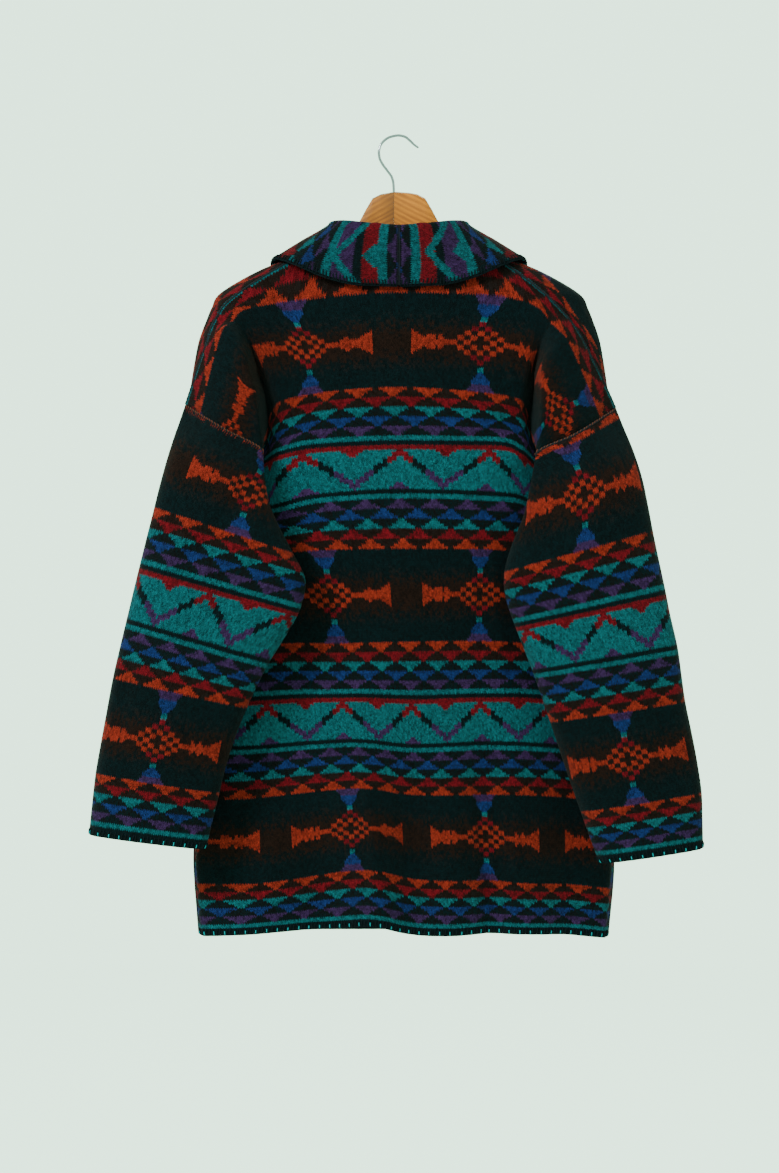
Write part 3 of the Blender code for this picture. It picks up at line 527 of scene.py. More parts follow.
def clothObject(name, grid, material, replaced, outward, fromEdge, creases=(), closed=False):
    normals = normalsOf(grid[..., :3])
    if (normals * outward).sum() < 0:
        normals = -normals
    points = crease(grid, normals, creases) * mm
    if closed:
        points[:, -1] = points[:, 0]
    rows, columns = points.shape[:2]
    bm = bmesh.new()
    bmesh.ops.create_grid(bm, x_segments=columns - 1, y_segments=rows - 1, size=1)
    bm.verts.index_update()
    uvLayer = bm.loops.layers.uv.new("knitting")
    edgeLayer = bm.verts.layers.float.new("fromEdge")
    for vert in bm.verts:
        vert.co = points[vert.index // columns, vert.index % columns]
        vert[edgeLayer] = fromEdge[vert.index // columns, vert.index % columns]
    for face in bm.faces:
        for loop in face.loops:
            i = loop.vert.index
            loop[uvLayer].uv = grid[i // columns, i % columns, 3:5]
        face.smooth = True
    bm.normal_update()
    bm.faces.ensure_lookup_table()
    facing = sum(f.normal.dot(Vector(normals[f.verts[0].index // columns, f.verts[0].index % columns]))
                 for f in bm.faces)
    if facing < 0:
        bmesh.ops.reverse_faces(bm, faces=bm.faces[:])
    if closed:
        bmesh.ops.remove_doubles(bm, verts=[v for v in bm.verts if v.is_boundary], dist=0.00002)
    mesh = bpy.data.meshes.new(name + "Cloth")
    bm.to_mesh(mesh)
    bm.free()
    mesh.materials.append(material)
    piece = bpy.data.objects.new(name + "Cloth", mesh)
    bpy.context.scene.collection.objects.link(piece)
    wall = piece.modifiers.new("wall", "SOLIDIFY")
    wall.thickness = cloth["thickness"] * mm
    wall.offset = 0
    wall.use_even_offset = False
    wall.use_quality_normals = True
    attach(piece, "root")
    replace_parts(piece, replaced)
    garment[name] = points / mm, normals
    charts[name] = np.concatenate([grid[..., 3:5], fromEdge[..., None]], axis=2)
    return piece


# Shader maths

class Wire:  # a socket in a shader, so that sums on it read as sums
    def __init__(self, shader, socket):
        self.shader = shader
        self.socket = socket

    def __add__(self, other):
        return self.shader.sum("ADD", self, other)

    def __radd__(self, other):
        return self.shader.sum("ADD", other, self)

    def __sub__(self, other):
        return self.shader.sum("SUBTRACT", self, other)

    def __rsub__(self, other):
        return self.shader.sum("SUBTRACT", other, self)

    def __mul__(self, other):
        return self.shader.sum("MULTIPLY", self, other)

    def __rmul__(self, other):
        return self.shader.sum("MULTIPLY", other, self)

    def __truediv__(self, other):
        return self.shader.sum("DIVIDE", self, other)

    def __mod__(self, other):
        return self.shader.sum("FLOORED_MODULO", self, other)

    def __lt__(self, other):
        return self.shader.sum("LESS_THAN", self, other)

    def __gt__(self, other):
        return self.shader.sum("GREATER_THAN", self, other)

    def __abs__(self):
        return self.shader.sum("ABSOLUTE", self)

    def floor(self):
        return self.shader.sum("FLOOR", self)

    def most(self, other):
        return self.shader.sum("MAXIMUM", self, other)

    def least(self, other):
        return self.shader.sum("MINIMUM", self, other)


class Shader:  # the nodes of one material
    def __init__(self, name):
        self.material = bpy.data.materials.new(name)
        self.material.use_nodes = True
        self.nodes = self.material.node_tree.nodes
        self.links = self.material.node_tree.links
        self.surface = self.nodes["Principled BSDF"]

    def node(self, kind, settings=None, **inputs):
        made = self.nodes.new(kind)
        for key, value in (settings or {}).items():
            setattr(made, key, value)
        for key, value in inputs.items():
            self.put(made.inputs[int(key[1:]) if key[1:].isdigit() else key], value)
        return made

    def put(self, socket, value):
        if isinstance(value, Wire):
            self.links.new(value.socket, socket)
        else:
            socket.default_value = value

    def sum(self, operation, *values):
        inputs = {f"_{i}": value for i, value in enumerate(values)}
        made = self.node("ShaderNodeMath", {"operation": operation}, **inputs)
        return Wire(self, made.outputs[0])

    def pick(self, mask, low, high):  # a colour: low where the mask is 0, high where 1
        made = self.node("ShaderNodeMix", {"data_type": "RGBA", "clamp_factor": True})
        self.put(made.inputs[0], mask)
        self.put(made.inputs[6], self.colour(low))
        self.put(made.inputs[7], self.colour(high))
        return Wire(self, made.outputs[2])

    def tint(self, colour, amount):  # a colour made lighter or darker
        made = self.node("ShaderNodeVectorMath", {"operation": "SCALE"})
        self.put(made.inputs[0], self.colour(colour)[:3] if not isinstance(colour, Wire) else colour)
        self.put(made.inputs[3], amount)
        return Wire(self, made.outputs[0])

    def chance(self, *places):  # an even random number for each stitch
        cell = self.node("ShaderNodeCombineXYZ", None, _0=places[0], _1=places[1])
        made = self.node("ShaderNodeTexWhiteNoise", {"noise_dimensions": "2D"},
                         Vector=self.output(cell, "Vector"))
        return self.output(made, "Value")

    def place(self):
        return self.output(self.node("ShaderNodeTexCoord"), "Object")

    def noise(self, place, scale, detail, roughness=0.5):
        made = self.node("ShaderNodeTexNoise", {"noise_dimensions": "3D"}, Vector=place, Scale=scale,
                         Detail=detail, Roughness=roughness)
        return self.output(made, "Fac")

    def bump(self, height, depth, strength=1.0, **under):
        made = self.node("ShaderNodeBump", None, Height=height, Distance=depth, Strength=strength, **under)
        return self.output(made, "Normal")

    def colour(self, value):
        return value if isinstance(value, Wire) else (*value[:3], 1)

    def output(self, made, name):
        return Wire(self, made.outputs[name])

    def set(self, **values):
        for key, value in values.items():
            self.put(self.surface.inputs[key.replace("_", " ")], value)


def fromScreen(red, green, blue):  # a colour as a screen shows it, made linear
    return tuple((c / 255 / 12.92) if c / 255 <= 0.04045 else ((c / 255 + 0.055) / 1.055) ** 2.4
                 for c in (red, green, blue))


# The knitted pattern, charted from stepped triangles, checks and zigzags

yarn = {
    "orange": fromScreen(174, 50, 34),
    "red": fromScreen(134, 18, 32),
    "teal": fromScreen(0, 110, 122),
    "blue": fromScreen(32, 56, 120),
    "purple": fromScreen(72, 42, 92),
    "tealBlack": fromScreen(7, 28, 33),
    "brownBlack": fromScreen(42, 23, 18),
    "edging": 8.0,  # mm of dark along the finished edges
    "level": 0.2,  # how much of a colour's light the felt gives back
    # the collar, knitted from the same yarns, gives back less light: painted shade on the collar
    "collarShadedLevel": 0.165,
    "roughness": 0.95,
    "sheen": 0.012,
    "sheenRoughness": 0.45,
    "gloss": 0.03,
    "stitchDepth": 0.5 * mm,
    "fuzzDepth": 0.35 * mm,
}


def between(x, low, high):
    return (x > low - 0.5) * (x < high - 0.5)


def knitPattern(s, column, row, collar):
    repeat = cloth["repeatRows"]
    t = (row - 10) % repeat + 10
    mirrored = t > 83
    m = t * (1 - mirrored) + (165 - t) * mirrored

    # Five strips of stepped triangles
    strip = ((m - 49) / 4).floor()
    step = (m - 49) % 4
    odd = strip % 2
    reach = abs((column - odd * 8 + 8) % 16 - 8)
    triangle = reach < (6.5 - step * 2).most(1.5)
    stripColour = s.pick(strip > 0.5, yarn["orange"], yarn["red"])
    stripColour = s.pick(strip > 1.5, stripColour, yarn["teal"])
    stripColour = s.pick(strip > 2.5, stripColour, yarn["blue"])
    stripColour = s.pick(strip > 3.5, stripColour, yarn["purple"])
    mixed = (strip > 1.5) * 0.75 + s.chance(column, row) * 0.5 - 0.15
    ground = s.pick(mixed, yarn["brownBlack"], yarn["tealBlack"])
    strips = s.pick(triangle, ground, stripColour)

    # The teal band with its zigzag
    z = t - 75
    peak = abs((column + 20) % 40 - 20)
    stepDown = (peak / 2).floor()
    line = abs(z - 1 - stepDown * 1.5) < 1.6
    lineColour = s.pick(stepDown > 2.5, yarn["red"], yarn["tealBlack"])
    lineColour = s.pick(stepDown > 5.5, lineColour, yarn["purple"])
    band = s.pick(line, yarn["teal"], lineColour)
    notch = (z < 2.5) * ((20 - peak) < (4.5 - z * 2).most(1.5))
    band = s.pick(notch, band, yarn["red"])
    foot = (z > 14.5) * (peak < (4.5 - (17 - z) * 2).most(1.5))
    band = s.pick(foot, band, yarn["purple"])
    stripe = between(m, 69, 71)
    if collar:  # knitted the other way round: a teal ribbon over red, black and purple
        band = s.pick(t > 79.5, yarn["red"], yarn["tealBlack"])
        band = s.pick(t > 83.5, band, yarn["purple"])
        ribbon = abs(z - 1 - peak * 0.85) < 2.2
        notch = ((20 - peak) < 4.5 - z).most(peak < z - 12.5)
        band = s.pick(ribbon.most(notch), band, yarn["teal"])
        stripe = between(m, 69, 73)

    # The dark band with checked lozenges, their arms and pendants
    side = column % 80 - 40
    far = abs(side)
    k = ((t - 28) / 2).floor()
    ring = abs(k)
    cell = abs((side + (ring % 2) * 3 + 3) % 6 - 3) < 1.5
    inside = (far < 13.5 - ring * 3) * (ring < 4.5)
    heart = (ring < 0.5) * (far < 1.5)
    lozenge = cell * inside * (1 - heart)
    height = abs(t - 28.5)
    ragged = 1.3 + s.chance(column, 7.0) * 2.2
    tooth = between(far, 14, 17) * (height < 1.1)
    tooth = tooth.most(between(far, 17, 25) * (height < ragged))
    tooth = tooth.most(between(far, 25, 32) * (height < 1.6 + (far - 25) * 0.56))
    warm = (9.5 - abs(t - 29)) / 5 + (s.chance(column, row) - 0.5) * 1.5
    dark = s.pick(warm, yarn["tealBlack"], yarn["brownBlack"])
    dark = s.pick(lozenge, dark, s.pick(ring > 2.5, yarn["orange"], yarn["red"]))
    dark = s.pick(tooth, dark, yarn["orange"])
    q = (t - 10).least(48 - t)
    dark = s.pick((q < 2.5) * (far < 6.5 - q), dark, yarn["purple"])
    dark = s.pick(between(q, 3, 8) * (far < 4.9 - (q - 3) * 0.75), dark, yarn["blue"])
    dark = s.pick(between(q, 8, 10) * (far < 1.5), dark, yarn["teal"])

    colour = s.pick(between(m, 49, 69), dark, strips)
    colour = s.pick(between(m, 71, 73), colour, yarn["tealBlack"])
    colour = s.pick(stripe, colour, yarn["teal"])
    lip = s.pick((20 - peak) < 5.5, yarn["red"], yarn["teal"]) if collar else yarn["red"]
    colour = s.pick(between(t, 73, 75), colour, lip)
    return s.pick(between(t, 75, 93), colour, band)


def knitMaterial(name, collar=False):
    s = Shader(name)
    uv = s.node("ShaderNodeUVMap", {"uv_map": "knitting"})
    parts = s.node("ShaderNodeSeparateXYZ", None, _0=s.output(uv, "UV"))
    place = s.place()
    wobble = s.noise(place, 480.0, 1.0) - 0.5
    u = s.output(parts, "X") + wobble * 0.9
    v = s.output(parts, "Y") + wobble * 0.9 + 0.3

    # A stitch is a V: its legs rise to both sides
    column = (u + 0.5).floor()
    leg = abs(u - column) * 2
    lift = (1 - leg) * 0.9
    row = (v - lift).floor()
    down = v - lift - row
    edge = s.node("ShaderNodeAttribute", {"attribute_name": "fromEdge"})
    colour = s.pick(s.output(edge, "Fac") < yarn["edging"], knitPattern(s, column, row, collar),
                    yarn["tealBlack"])

    heather = s.noise(place, 900.0, 2.0)
    cloud = s.noise(place, 14.0, 3.0)
    legRidge = 1 - (abs(leg - 0.5) * 2) * (abs(leg - 0.5) * 2)
    rowRidge = down * (1 - down) * 4
    stitch = legRidge * 0.55 + rowRidge * 0.45
    speck = s.chance(column, row)
    worn = heather * 2.6 - 0.85
    bright = speck * 0.7 + worn * 0.9 + cloud * 0.3
    # The colour is darker in the hollows between a stitch's legs and between its rows: painted shade,
    # following the stitch relief.
    bright = bright * (0.45 + stitch * 0.85) * yarn["collarShadedLevel" if collar else "level"]
    s.set(Base_Color=s.tint(colour, bright), Roughness=yarn["roughness"])
    s.set(Sheen_Weight=yarn["sheen"], Sheen_Roughness=yarn["sheenRoughness"])
    s.set(Specular_IOR_Level=yarn["gloss"])
    stitchBump = s.bump(stitch, yarn["stitchDepth"])
    s.set(Normal=s.bump(s.noise(place, 1300.0, 3.0), yarn["fuzzDepth"], Normal=stitchBump))
    return s.material


knit = knitMaterial("feltedKnit")
collarKnit = knitMaterial("feltedCollarKnit", collar=True)
print("knit pattern charted")


# The garment's cloth

fineSteps = {"bodyRows": 144, "bodyColumns": 124, "frontColumns": 60, "sleeveRows": 88,
             "sleeveColumns": 96, "collarRows": 110, "collarColumns": 36}
garment = {}  # points and normals of each piece
charts = {}  # stitch, row and distance from a finished edge
selvedge = 6.6  # less of the dark edging shows along the collar


def makeGarment():
    back = backPoints()
    rows = cloth["rows"]
    fineRows = np.linspace(0, cloth["hemRow"], fineSteps["bodyRows"] + 1)
    fine = refine(back, rows, fineRows, np.linspace(0, back.shape[1] - 1, fineSteps["bodyColumns"] + 1))
    shift, full, none = backPiece["patternShift"]
    fine[..., 3] += shift * (1 - ramp(fine[..., 4], full, none))
    toHem = (cloth["hemRow"] - fine[..., 4]) * cloth["rowHeight"]
    fine[..., 4] += cloth["shoulderTurn"] * (1 - ramp(fine[..., 4], 0, 10))
    piece = clothObject("back", fine, knit, "back", (0, -1, 0), toHem, backPiece["creases"])
    for side, word in sides:
        front = frontPoints(back, side)
        columns = np.linspace(0, front.shape[1] - 1, fineSteps["frontColumns"] + 1)
        fine = refine(front, rows, fineRows, columns)
        true = np.concatenate([np.zeros((1, fine.shape[1])),
                               np.cumsum(np.linalg.norm(np.diff(fine[..., :3], axis=0), axis=-1), axis=0)])
        bare = fine[..., 4].copy()
        spare = true / cloth["rowHeight"] + cloth["shoulderTurn"] - bare
        fine[..., 4] += spare * (1 - ramp(bare, 20, cloth["underarmRow"]))
        mirrored = [((side * -a[0], a[1]), (side * -b[0], b[1]), half, height)
                    for a, b, half, height in frontPiece["creases"]]
        toHem = (cloth["hemRow"] - bare) * cloth["rowHeight"]
        toOpening = np.abs(fine[:, -1:, 3] - fine[..., 3]) * cloth["stitchWidth"] + selvedge
        toOpening = np.where(bare > cloth["vEndRow"], toOpening, 99)
        piece = clothObject(f"{word}Front", fine, knit, f"front_{word}", (0, 1, 0),
                            np.minimum(toHem, toOpening), mirrored)

        sleeve = sleevePoints(back, front, side)
        rings = sleevePiece["rows"]
        fineRings = np.linspace(rings[0], rings[-1], fineSteps["sleeveRows"] + 1)
        columns = np.linspace(0, sleeve.shape[1] - 1, fineSteps["sleeveColumns"] + 1)
        fine = refine(sleeve, sleevePiece["rows"], fineRings, columns, closed=True)
        outward = unit(fine[..., :3] - fine[..., :3].mean(axis=1, keepdims=True))
        creases = sleevePiece["creasesLeft" if side < 0 else "creasesRight"]
        toCuff = (sleevePiece["rows"][-1] - fine[..., 4]) * cloth["rowHeight"]
        if side < 0:  # this sleeve was sewn in a few rows further down its pattern
            fine[..., 4] = np.maximum(fine[..., 4], sleevePiece["leftStart"])
        piece = clothObject(f"{word}Sleeve", fine, knit, f"sleeve_{word}", outward, toCuff,
                            creases, closed=True)

        collar = collarPoints(back, front, side)
        stations = np.arange(len(collar), dtype=float)
        fine = refine(collar, stations, np.linspace(0, stations[-1], fineSteps["collarRows"] + 1),
                      np.linspace(0, collar.shape[1] - 1, fineSteps["collarColumns"] + 1))
        outward = np.zeros_like(fine[..., :3])
        outward[:12, :4, 1] = -1
        toEdge = (fine[:, -1:, 3] - fine[..., 3]) * cloth["stitchWidth"] + selvedge
        shift = 0 if side < 0 else collarPiece["rightStitch"] - collarPiece["leftStitch"]
        creases = [((a + shift, b), (c + shift, d), half, height)
                   for (a, b), (c, d), half, height in collarPiece["creases"]]
        piece = clothObject(f"{word}Collar", fine, collarKnit, f"collar_{word}", outward, toEdge, creases)
    print("cloth hung")


makeGarment()

# Yarns for seams and edges

sewing = {
    "edgeYarn": fromScreen(5, 10, 13),
    "flecks": fromScreen(0, 104, 112),
    "seamYarn": fromScreen(84, 42, 26),
    "roll": fromScreen(14, 15, 18),
    "gap": 4.3,  # between two stitches of the edging
    "depth": 7.0,
    "thread": 0.8,  # radius
    "over": ((1.0, -0.4), (0.8, 0.35), (0.4, 0.45), (0.0, 0.2)),  # share of the depth, height on the cloth
    "fleckEvery": 3,
    "rollGap": 2.0,  # between two points of a seam's ridge
    "leftRoll": 1.2,  # radius of the ridge along the dropped shoulder
    "rightRoll": 2.0,
    "dashGap": 4.2,
    "dash": 0.34,
    "shoulderRoll": 1.2,
    "sideRoll": 1.1,
    "collarRoll": 0.55,
    "twistDepth": 0.0003,
}


def yarnMaterial(name, colour, twist=0.5):
    s = Shader(name)
    place = s.place()
    strand = s.noise(place, 1100.0, 2.0)
    shade = 0.55 + strand * twist + s.noise(place, 120.0, 2.0) * 0.4
    s.set(Base_Color=s.tint(colour, shade), Roughness=yarn["roughness"], Specular_IOR_Level=yarn["gloss"])
    s.set(Normal=s.bump(strand, sewing["twistDepth"]))
    return s.material


edgeYarn = yarnMaterial("edgeYarn", sewing["edgeYarn"])
fleckYarn = yarnMaterial("fleckYarn", sewing["flecks"])
seamYarn = yarnMaterial("seamYarn", sewing["seamYarn"])
rollYarn = yarnMaterial("rollYarn", sewing["roll"], 0.9)


def yarnPiece(name, lines, radius, material, radii=None):
    curve = bpy.data.curves.new(name, "CURVE")
    curve.dimensions = "3D"
    curve.bevel_depth = radius * mm
    curve.bevel_resolution = 1
    curve.use_fill_caps = True
    for line in lines:
        spline = curve.splines.new("POLY")
        spline.points.add(len(line) - 1)
        for k, place in enumerate(np.asarray(line) * mm):
            spline.points[k].co = (*place, 1)
            spline.points[k].radius = 1 if radii is None else float(radii[k % len(radii)])
    curve.materials.append(material)
    onGarment(name, curve)


def evenly(gap, chance, line, *others):  # a line and what goes with it, at even steps
    far = along(line)
    count = int(far[-1] / gap)
    at = (np.arange(count) + 0.5 + chance.uniform(-0.16, 0.16, count)) * far[-1] / count
    return [flow(far, data, at) for data in (line, *others)]


def edgings():  # the finished edges, each as points, the way into the cloth, and out of it
    for name in ("back", "leftFront", "rightFront", "leftSleeve", "rightSleeve"):
        points, normals = garment[name]
        yield name + "Edge", points[-1], unit(points[-3] - points[-1]), normals[-1]
    below = int(cloth["vEndRow"] / cloth["hemRow"] * fineSteps["bodyRows"])
    for word in ("left", "right"):
        points, normals = garment[f"{word}Collar"]
        yield f"{word}CollarEdge", points[:, -1], unit(points[:, -3] - points[:, -1]), normals[:, -1]
        points, normals = garment[f"{word}Front"]
        yield (f"{word}OpeningEdge", points[below:, -1], unit(points[below:, -3] - points[below:, -1]),
               normals[below:, -1])


def makeEdging():
    chance = np.random.default_rng(4)
    wall = cloth["thickness"] / 2
    thread = sewing["thread"]
    for name, line, inward, out in edgings():
        base, into, normal = evenly(sewing["gap"], chance, line, inward, out)
        into, normal = unit(into), unit(normal)
        side = unit(np.gradient(base, axis=0))
        stitches, flecks = [], []
        for k, (b, i, n, s) in enumerate(zip(base, into, normal, side)):
            reach = i * sewing["depth"] * chance.uniform(0.82, 1.1)
            lean = s * chance.uniform(0.4, 1.6)
            front = [b + (reach + lean) * share + n * (wall + rise) for share, rise in sewing["over"]]
            behind = [b + (reach + lean) * share - n * (wall + rise) for share, rise in sewing["over"]]
            stitches.append(front + [b - i * 0.9] + behind[::-1])
            if k % sewing["fleckEvery"] == 1:
                start = b + s * sewing["gap"] * 0.45 + i * 0.2
                flecks.append([start + reach * 0.5 + n * (wall + 0.2),
                               start + reach * 0.25 + n * (wall + 0.5),
                               start + n * (wall + 0.1), start - i * 0.7])
        yarnPiece(name + "Stitches", stitches, thread, edgeYarn)
        yarnPiece(name + "Flecks", flecks, thread * 0.8, fleckYarn)
        wave = 0.5 * np.sin(np.arange(len(base)) * 1.7)
        yarnPiece(name + "Rope", [base - into * 0.7 + normal * wave[:, None]], thread * 1.5, edgeYarn)
    print("edges sewn")


def makeSeams():
    chance = np.random.default_rng(9)
    drop = int(round(cloth["underarmRow"] / cloth["hemRow"] * fineSteps["bodyRows"]))
    back, backNormals = garment["back"]
    for side, word in sides:
        edge = 0 if side < 0 else -1
        line, out = back[:drop, edge], backNormals[:drop, edge]
        across = unit(back[:drop, edge + (2 if side < 0 else -2)] - line)
        thick = sewing[f"{word}Roll"]
        place, normal, cross = evenly(sewing["rollGap"], chance, line, out, across)
        bumps = 1 + 0.14 * np.sin(np.arange(len(place)) * 1.9)
        roll = place + unit(normal) * 1.3 - unit(cross) * 0.4 * thick
        yarnPiece(f"{word}DropRoll", [roll], thick, rollYarn, bumps)
        place, normal, cross = evenly(sewing["dashGap"], chance, line, out, across)
        ahead = unit(np.gradient(place, axis=0))
        lift = unit(normal) * (1.6 + thick * 0.55)
        dashes = [[p + n - a * 1.1 + c * 0.9, p + n * 1.12, p + n + a * 1.1 - c * 0.9]
                  for p, n, a, c in zip(place, lift, ahead, unit(cross))]
        yarnPiece(f"{word}DropStitches", dashes, sewing["dash"], seamYarn)

        front, frontNormals = garment[f"{word}Front"]
        span = slice(0, fineSteps["frontColumns"] - 2)
        line, out = front[0, span], unit(frontNormals[0, span] + frontNormals[1, span])
        place, normal = evenly(2.2, chance, line, out)
        bumps = 1 + 0.18 * np.sin(np.arange(len(place)) * 2.3)
        roll = place + unit(normal) * 1.2
        yarnPiece(f"{word}ShoulderRoll", [roll], sewing["shoulderRoll"], rollYarn, bumps)

        line, out = back[drop:, edge], backNormals[drop:, edge]
        place, normal = evenly(2.4, chance, line, out)
        roll = place + unit(normal) * 0.6 + (side * 0.5, 0, 0)
        yarnPiece(f"{word}SideRoll", [roll], sewing["sideRoll"], rollYarn)

    collar, normals = garment["leftCollar"]
    place, normal = evenly(sewing["rollGap"], chance, collar[0], normals[0])
    for side, word in sides:
        for face, spot in ((-1, "Top"), (1, "Under")):
            roll = place + unit(normal) * face * 1.6 + (side, 0, 0)
            yarnPiece(f"collarSeam{word.title()}{spot}", [roll], sewing["collarRoll"], rollYarn)
    print("seams sewn")


makeEdging()
makeSeams()

# Loose fibres of the felted wool

fuzz = {
    "count": 15000,
    "length": (1.2, 3.2),
    "width": 0.17,
    "lean": 1.1,
    "outside": 0.75,  # share of them on the outer face
    "rooted": 0.15,  # mm below the face
}


def amid(grid, r, c, a, b):  # a value between four neighbours of a grid
    top = grid[r, c] * (1 - a) + grid[r + 1, c] * a
    return top * (1 - b) + (grid[r, c + 1] * (1 - a) + grid[r + 1, c + 1] * a) * b


def makeFuzz():
    chance = np.random.default_rng(21)
    area = {name: np.linalg.norm(np.cross(np.diff(p, axis=0)[:, :-1], np.diff(p, axis=1)[:-1]), axis=-1)
            for name, (p, n) in garment.items()}
    total = sum(a.sum() for a in area.values())
    roots, tips, sides, marks, inset, yarns = [], [], [], [], [], []
    for name, (points, normals) in garment.items():
        share = int(fuzz["count"] * area[name].sum() / total)
        spots = chance.choice(area[name].size, share, p=(area[name] / area[name].sum()).ravel())
        r, c = np.unravel_index(spots, area[name].shape)
        a, b = chance.random((2, share, 1))
        spot = r, c, a, b
        face = np.where(chance.random((share, 1)) < fuzz["outside"], 1.0, -1.0)
        if "Collar" in name:
            face = -face
        normal = unit(amid(normals, *spot)) * face
        root = amid(points, *spot) + normal * (cloth["thickness"] / 2 - fuzz["rooted"])
        way = unit(normal + fuzz["lean"] * chance.normal(0, 0.6, (share, 3)) + (0, 0, -0.25))
        long = chance.uniform(*fuzz["length"], (share, 1))
        roots.append(root)
        tips.append(root + way * long)
        sides.append(unit(np.cross(way, chance.normal(0, 1, (share, 3)))) * fuzz["width"])
        marks.append(amid(charts[name][..., :2], *spot))
        inset.append(amid(charts[name][..., 2:], *spot))
        yarns.append(np.full(share, int("Collar" in name)))
    roots, tips, sides, marks = (np.concatenate(x) for x in (roots, tips, sides, marks))
    inset, yarns = np.concatenate(inset), np.concatenate(yarns)
    count = len(roots)
    verts = np.stack([roots - sides, roots + sides, tips], axis=1).reshape(-1, 3) * mm
    mesh = bpy.data.meshes.new("looseFibres")
    mesh.from_pydata(verts.tolist(), [], np.arange(count * 3).reshape(-1, 3).tolist())
    mesh.uv_layers.new(name="knitting").data.foreach_set("uv", np.repeat(marks, 3, axis=0).ravel())
    mesh.attributes.new("fromEdge", "FLOAT", "POINT").data.foreach_set("value", np.repeat(inset, 3))
    mesh.materials.append(knit)
    mesh.materials.append(collarKnit)
    mesh.polygons.foreach_set("material_index", yarns)
    onGarment("looseFibres", mesh)
    print("fibres:", count)


makeFuzz()

# The hook

hookPiece = {
    "wire": 3.2,
    # Middle of the wire from inside the wood to the tip: across, height.
    "bends": (
        (-6, -96.4), (-6, -74), (-6.5, -58), (-8.6, -49), (-14, -41), (-20, -32.8),
        (-23.4, -25.5), (-24.2, -18.5), (-22.6, -11), (-18, -4.8), (-10.6, -0.2),
        (-1, 1.7), (7, 0.2), (13, -4.2), (18.4, -9.4), (24, -13.4),
    ),
    "points": 160,
    "tipTaper": 0.82,  # share of the width left at the rounded tip
    "taperFrom": 16,
}
chrome = {"colour": fromScreen(104, 110, 113), "roughness": 0.13, "smear": 0.05, "scratch": 0.00003}


def chromeMaterial():
    s = Shader("polishedChrome")
    place = s.place()
    s.set(Base_Color=(*chrome["colour"], 1), Metallic=1.0)
    s.set(Roughness=chrome["roughness"] + s.noise(place, 160.0, 4.0) * chrome["smear"])
    s.set(Normal=s.bump(s.noise(place, 1400.0, 2.0), chrome["scratch"], 0.5))
    return s.material


def makeHook():
    bends = np.array(hookPiece["bends"], float)
    at = np.linspace(0, len(bends) - 1, hookPiece["points"])
    line = smooth(range(len(bends)), bends, at)
    curve = bpy.data.curves.new("hookWire", "CURVE")
    curve.dimensions = "3D"
    curve.bevel_depth = hookPiece["wire"] / 2 * mm
    curve.bevel_resolution = 6
    curve.use_fill_caps = True
    spline = curve.splines.new("POLY")
    spline.points.add(len(line) - 1)
    length = along(line)
    radius = hookPiece["wire"] / 2
    for point, (x, z), toTip in zip(spline.points, line, length[-1] - length):
        point.co = (x * mm, 0, z * mm, 1)
        full = float(ramp(toTip, 0, hookPiece["taperFrom"]))
        taper = hookPiece["tipTaper"] + (1 - hookPiece["tipTaper"]) * full
        rounding = math.sqrt(max(1 - max(1 - toTip / radius, 0) ** 2, 0.02))
        point.radius = taper * rounding
    spline.use_smooth = True
    curve.materials.append(chromeMaterial())
    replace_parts(onGarment("hookWire", curve), "hook")
    print("hook bent")


makeHook()


# The wooden hanger

wood = {
    "pale": fromScreen(150, 84, 0),
    "deep": fromScreen(96, 46, 0),
    "dark": fromScreen(52, 24, 0),
    "leftShade": 0.64,
    "rightShade": 0.9,
    "leftTurn": 62,  # of the grain, in degrees
    "rightTurn": -64,
    "glueAt": (-5.95, 0, -107.8),  # the joint below the hook's bore
    "glueSize": (0.34, 11.0, 22.4),
    "glue": fromScreen(50, 28, 10),
    "roughness": 0.5,
    "gloss": 0.18,
    "grain": 0.00012,
}


def woodMaterial(side, word):
    s = Shader(f"{word}Wood")
    shade, turn = wood[f"{word}Shade"], wood[f"{word}Turn"]
    place = s.place()
    mapping = s.node("ShaderNodeMapping", {"vector_type": "TEXTURE"}, Vector=place,
                     Rotation=(0, math.radians(turn), 0), Scale=(1.0, 1.0, 6.0))
    turned = s.output(mapping, "Vector")
    grain = s.noise(turned, 420.0, 6.0, 0.6)
    rings = s.node("ShaderNodeTexWave", {"wave_type": "BANDS", "bands_direction": "X"},
                   Vector=turned, Scale=55.0, Distortion=6.0, Detail=3.0)
    streak = grain * 0.65 + s.output(rings, "Fac") * 0.35
    parts = s.node("ShaderNodeSeparateXYZ", None, _0=place)
    toJoint = 1 - (abs(s.output(parts, "X") + 0.006) * 60.0).least(1.0)
    colour = s.pick(streak * 1.3 - 0.15, wood["deep"], wood["pale"])
    colour = s.pick(toJoint * (0.55 if side < 0 else 0.2), colour, wood["dark"])
    s.set(Base_Color=s.tint(colour, shade + grain * 0.04), Roughness=wood["roughness"] + grain * 0.12)
    s.set(Specular_IOR_Level=wood["gloss"], Normal=s.bump(grain, wood["grain"], 0.6))
    return s.material


for side, word in sides:
    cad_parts[f"hanger_{word}"].material_slots[0].material = woodMaterial(side, word)


def makeGlueLine():
    bm = bmesh.new()
    bmesh.ops.create_cube(bm, size=1.0)
    bmesh.ops.scale(bm, vec=[a * mm for a in wood["glueSize"]], verts=bm.verts[:])
    bmesh.ops.translate(bm, vec=[a * mm for a in wood["glueAt"]], verts=bm.verts[:])
    mesh = bpy.data.meshes.new("glueLine")
    bm.to_mesh(mesh)
    bm.free()
    s = Shader("driedGlue")
    s.set(Base_Color=(*wood["glue"], 1), Roughness=0.7)
    mesh.materials.append(s.material)
    onGarment("glueLine", mesh)


makeGlueLine()
print("wood grained")


# Camera, light and stage

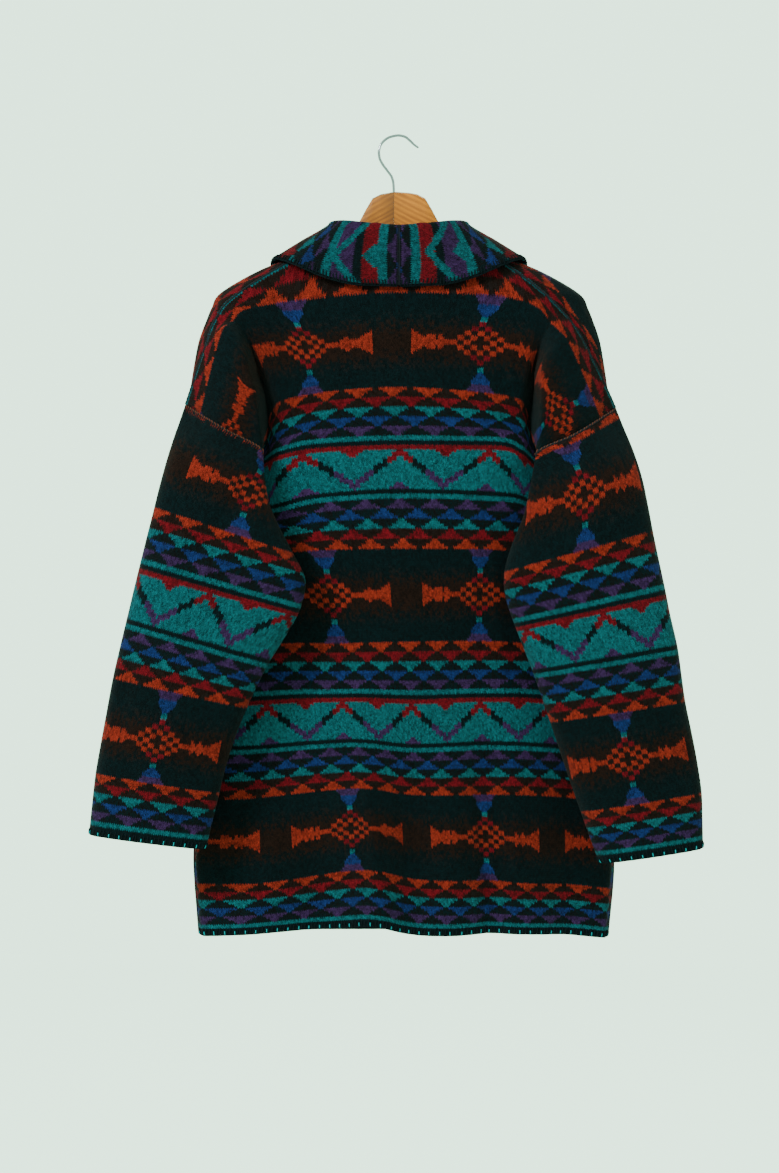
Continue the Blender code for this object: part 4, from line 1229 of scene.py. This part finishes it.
view = {
    "aim": (-0.0114, -0.545),
    "distance": 3.0,
    "depth": -0.03,
    "height": 1.4076,
}
stage = {
    "radius": 5.2,
    "tall": 1.4,
    "floor": -1.75,
    "colour": fromScreen(212, 248, 224),
    "matt": 0.2,
    "glow": 2.6,
    "lit": (0, 0, -0.5),  # the point that the lights face
}


def makeCamera():
    camera = bpy.data.objects.new("camera", bpy.data.cameras.new("camera"))
    camera.location = (view["aim"][0], view["depth"] - view["distance"], view["aim"][1])
    camera.rotation_euler = (math.radians(90), 0, 0)
    camera.data.lens = 36 * view["distance"] / view["height"]
    camera.data.clip_end = 50
    bpy.context.scene.collection.objects.link(camera)
    bpy.context.scene.camera = camera


def makeStage():
    bm = bmesh.new()
    bmesh.ops.create_uvsphere(bm, u_segments=96, v_segments=64, radius=stage["radius"])
    for vert in bm.verts:
        vert.co.z = max(vert.co.z * stage["tall"], stage["floor"])
    bmesh.ops.smooth_vert(bm, verts=bm.verts[:], factor=0.5, use_axis_x=False, use_axis_y=False,
                          use_axis_z=True)
    bmesh.ops.reverse_faces(bm, faces=bm.faces[:])
    for face in bm.faces:
        face.smooth = True
    mesh = bpy.data.meshes.new("paleRoom")
    bm.to_mesh(mesh)
    bm.free()
    s = Shader("paleStage")
    matt = [c * stage["matt"] for c in stage["colour"]]
    s.set(Base_Color=(*matt, 1), Roughness=1.0, Specular_IOR_Level=0.0)
    s.set(Emission_Color=(*stage["colour"], 1), Emission_Strength=stage["glow"])
    mesh.materials.append(s.material)
    room = bpy.data.objects.new("paleRoom", mesh)
    bpy.context.scene.collection.objects.link(room)


def makeLight(name, place, size, power):
    light = bpy.data.lights.new(name, "AREA")
    light.energy = power
    light.size = size
    lamp = bpy.data.objects.new(name, light)
    lamp.location = place
    lamp.rotation_euler = (Vector(place) - Vector(stage["lit"])).to_track_quat("Z", "Y").to_euler()
    bpy.context.scene.collection.objects.link(lamp)


makeCamera()
makeStage()
makeLight("keyLight", (-2.3, -2.4, 1.5), 1.0, 330)
makeLight("fillLight", (2.6, -2.0, 0.2), 2.4, 20)
makeLight("backLight", (0.6, 3.0, 1.1), 2.2, 90)
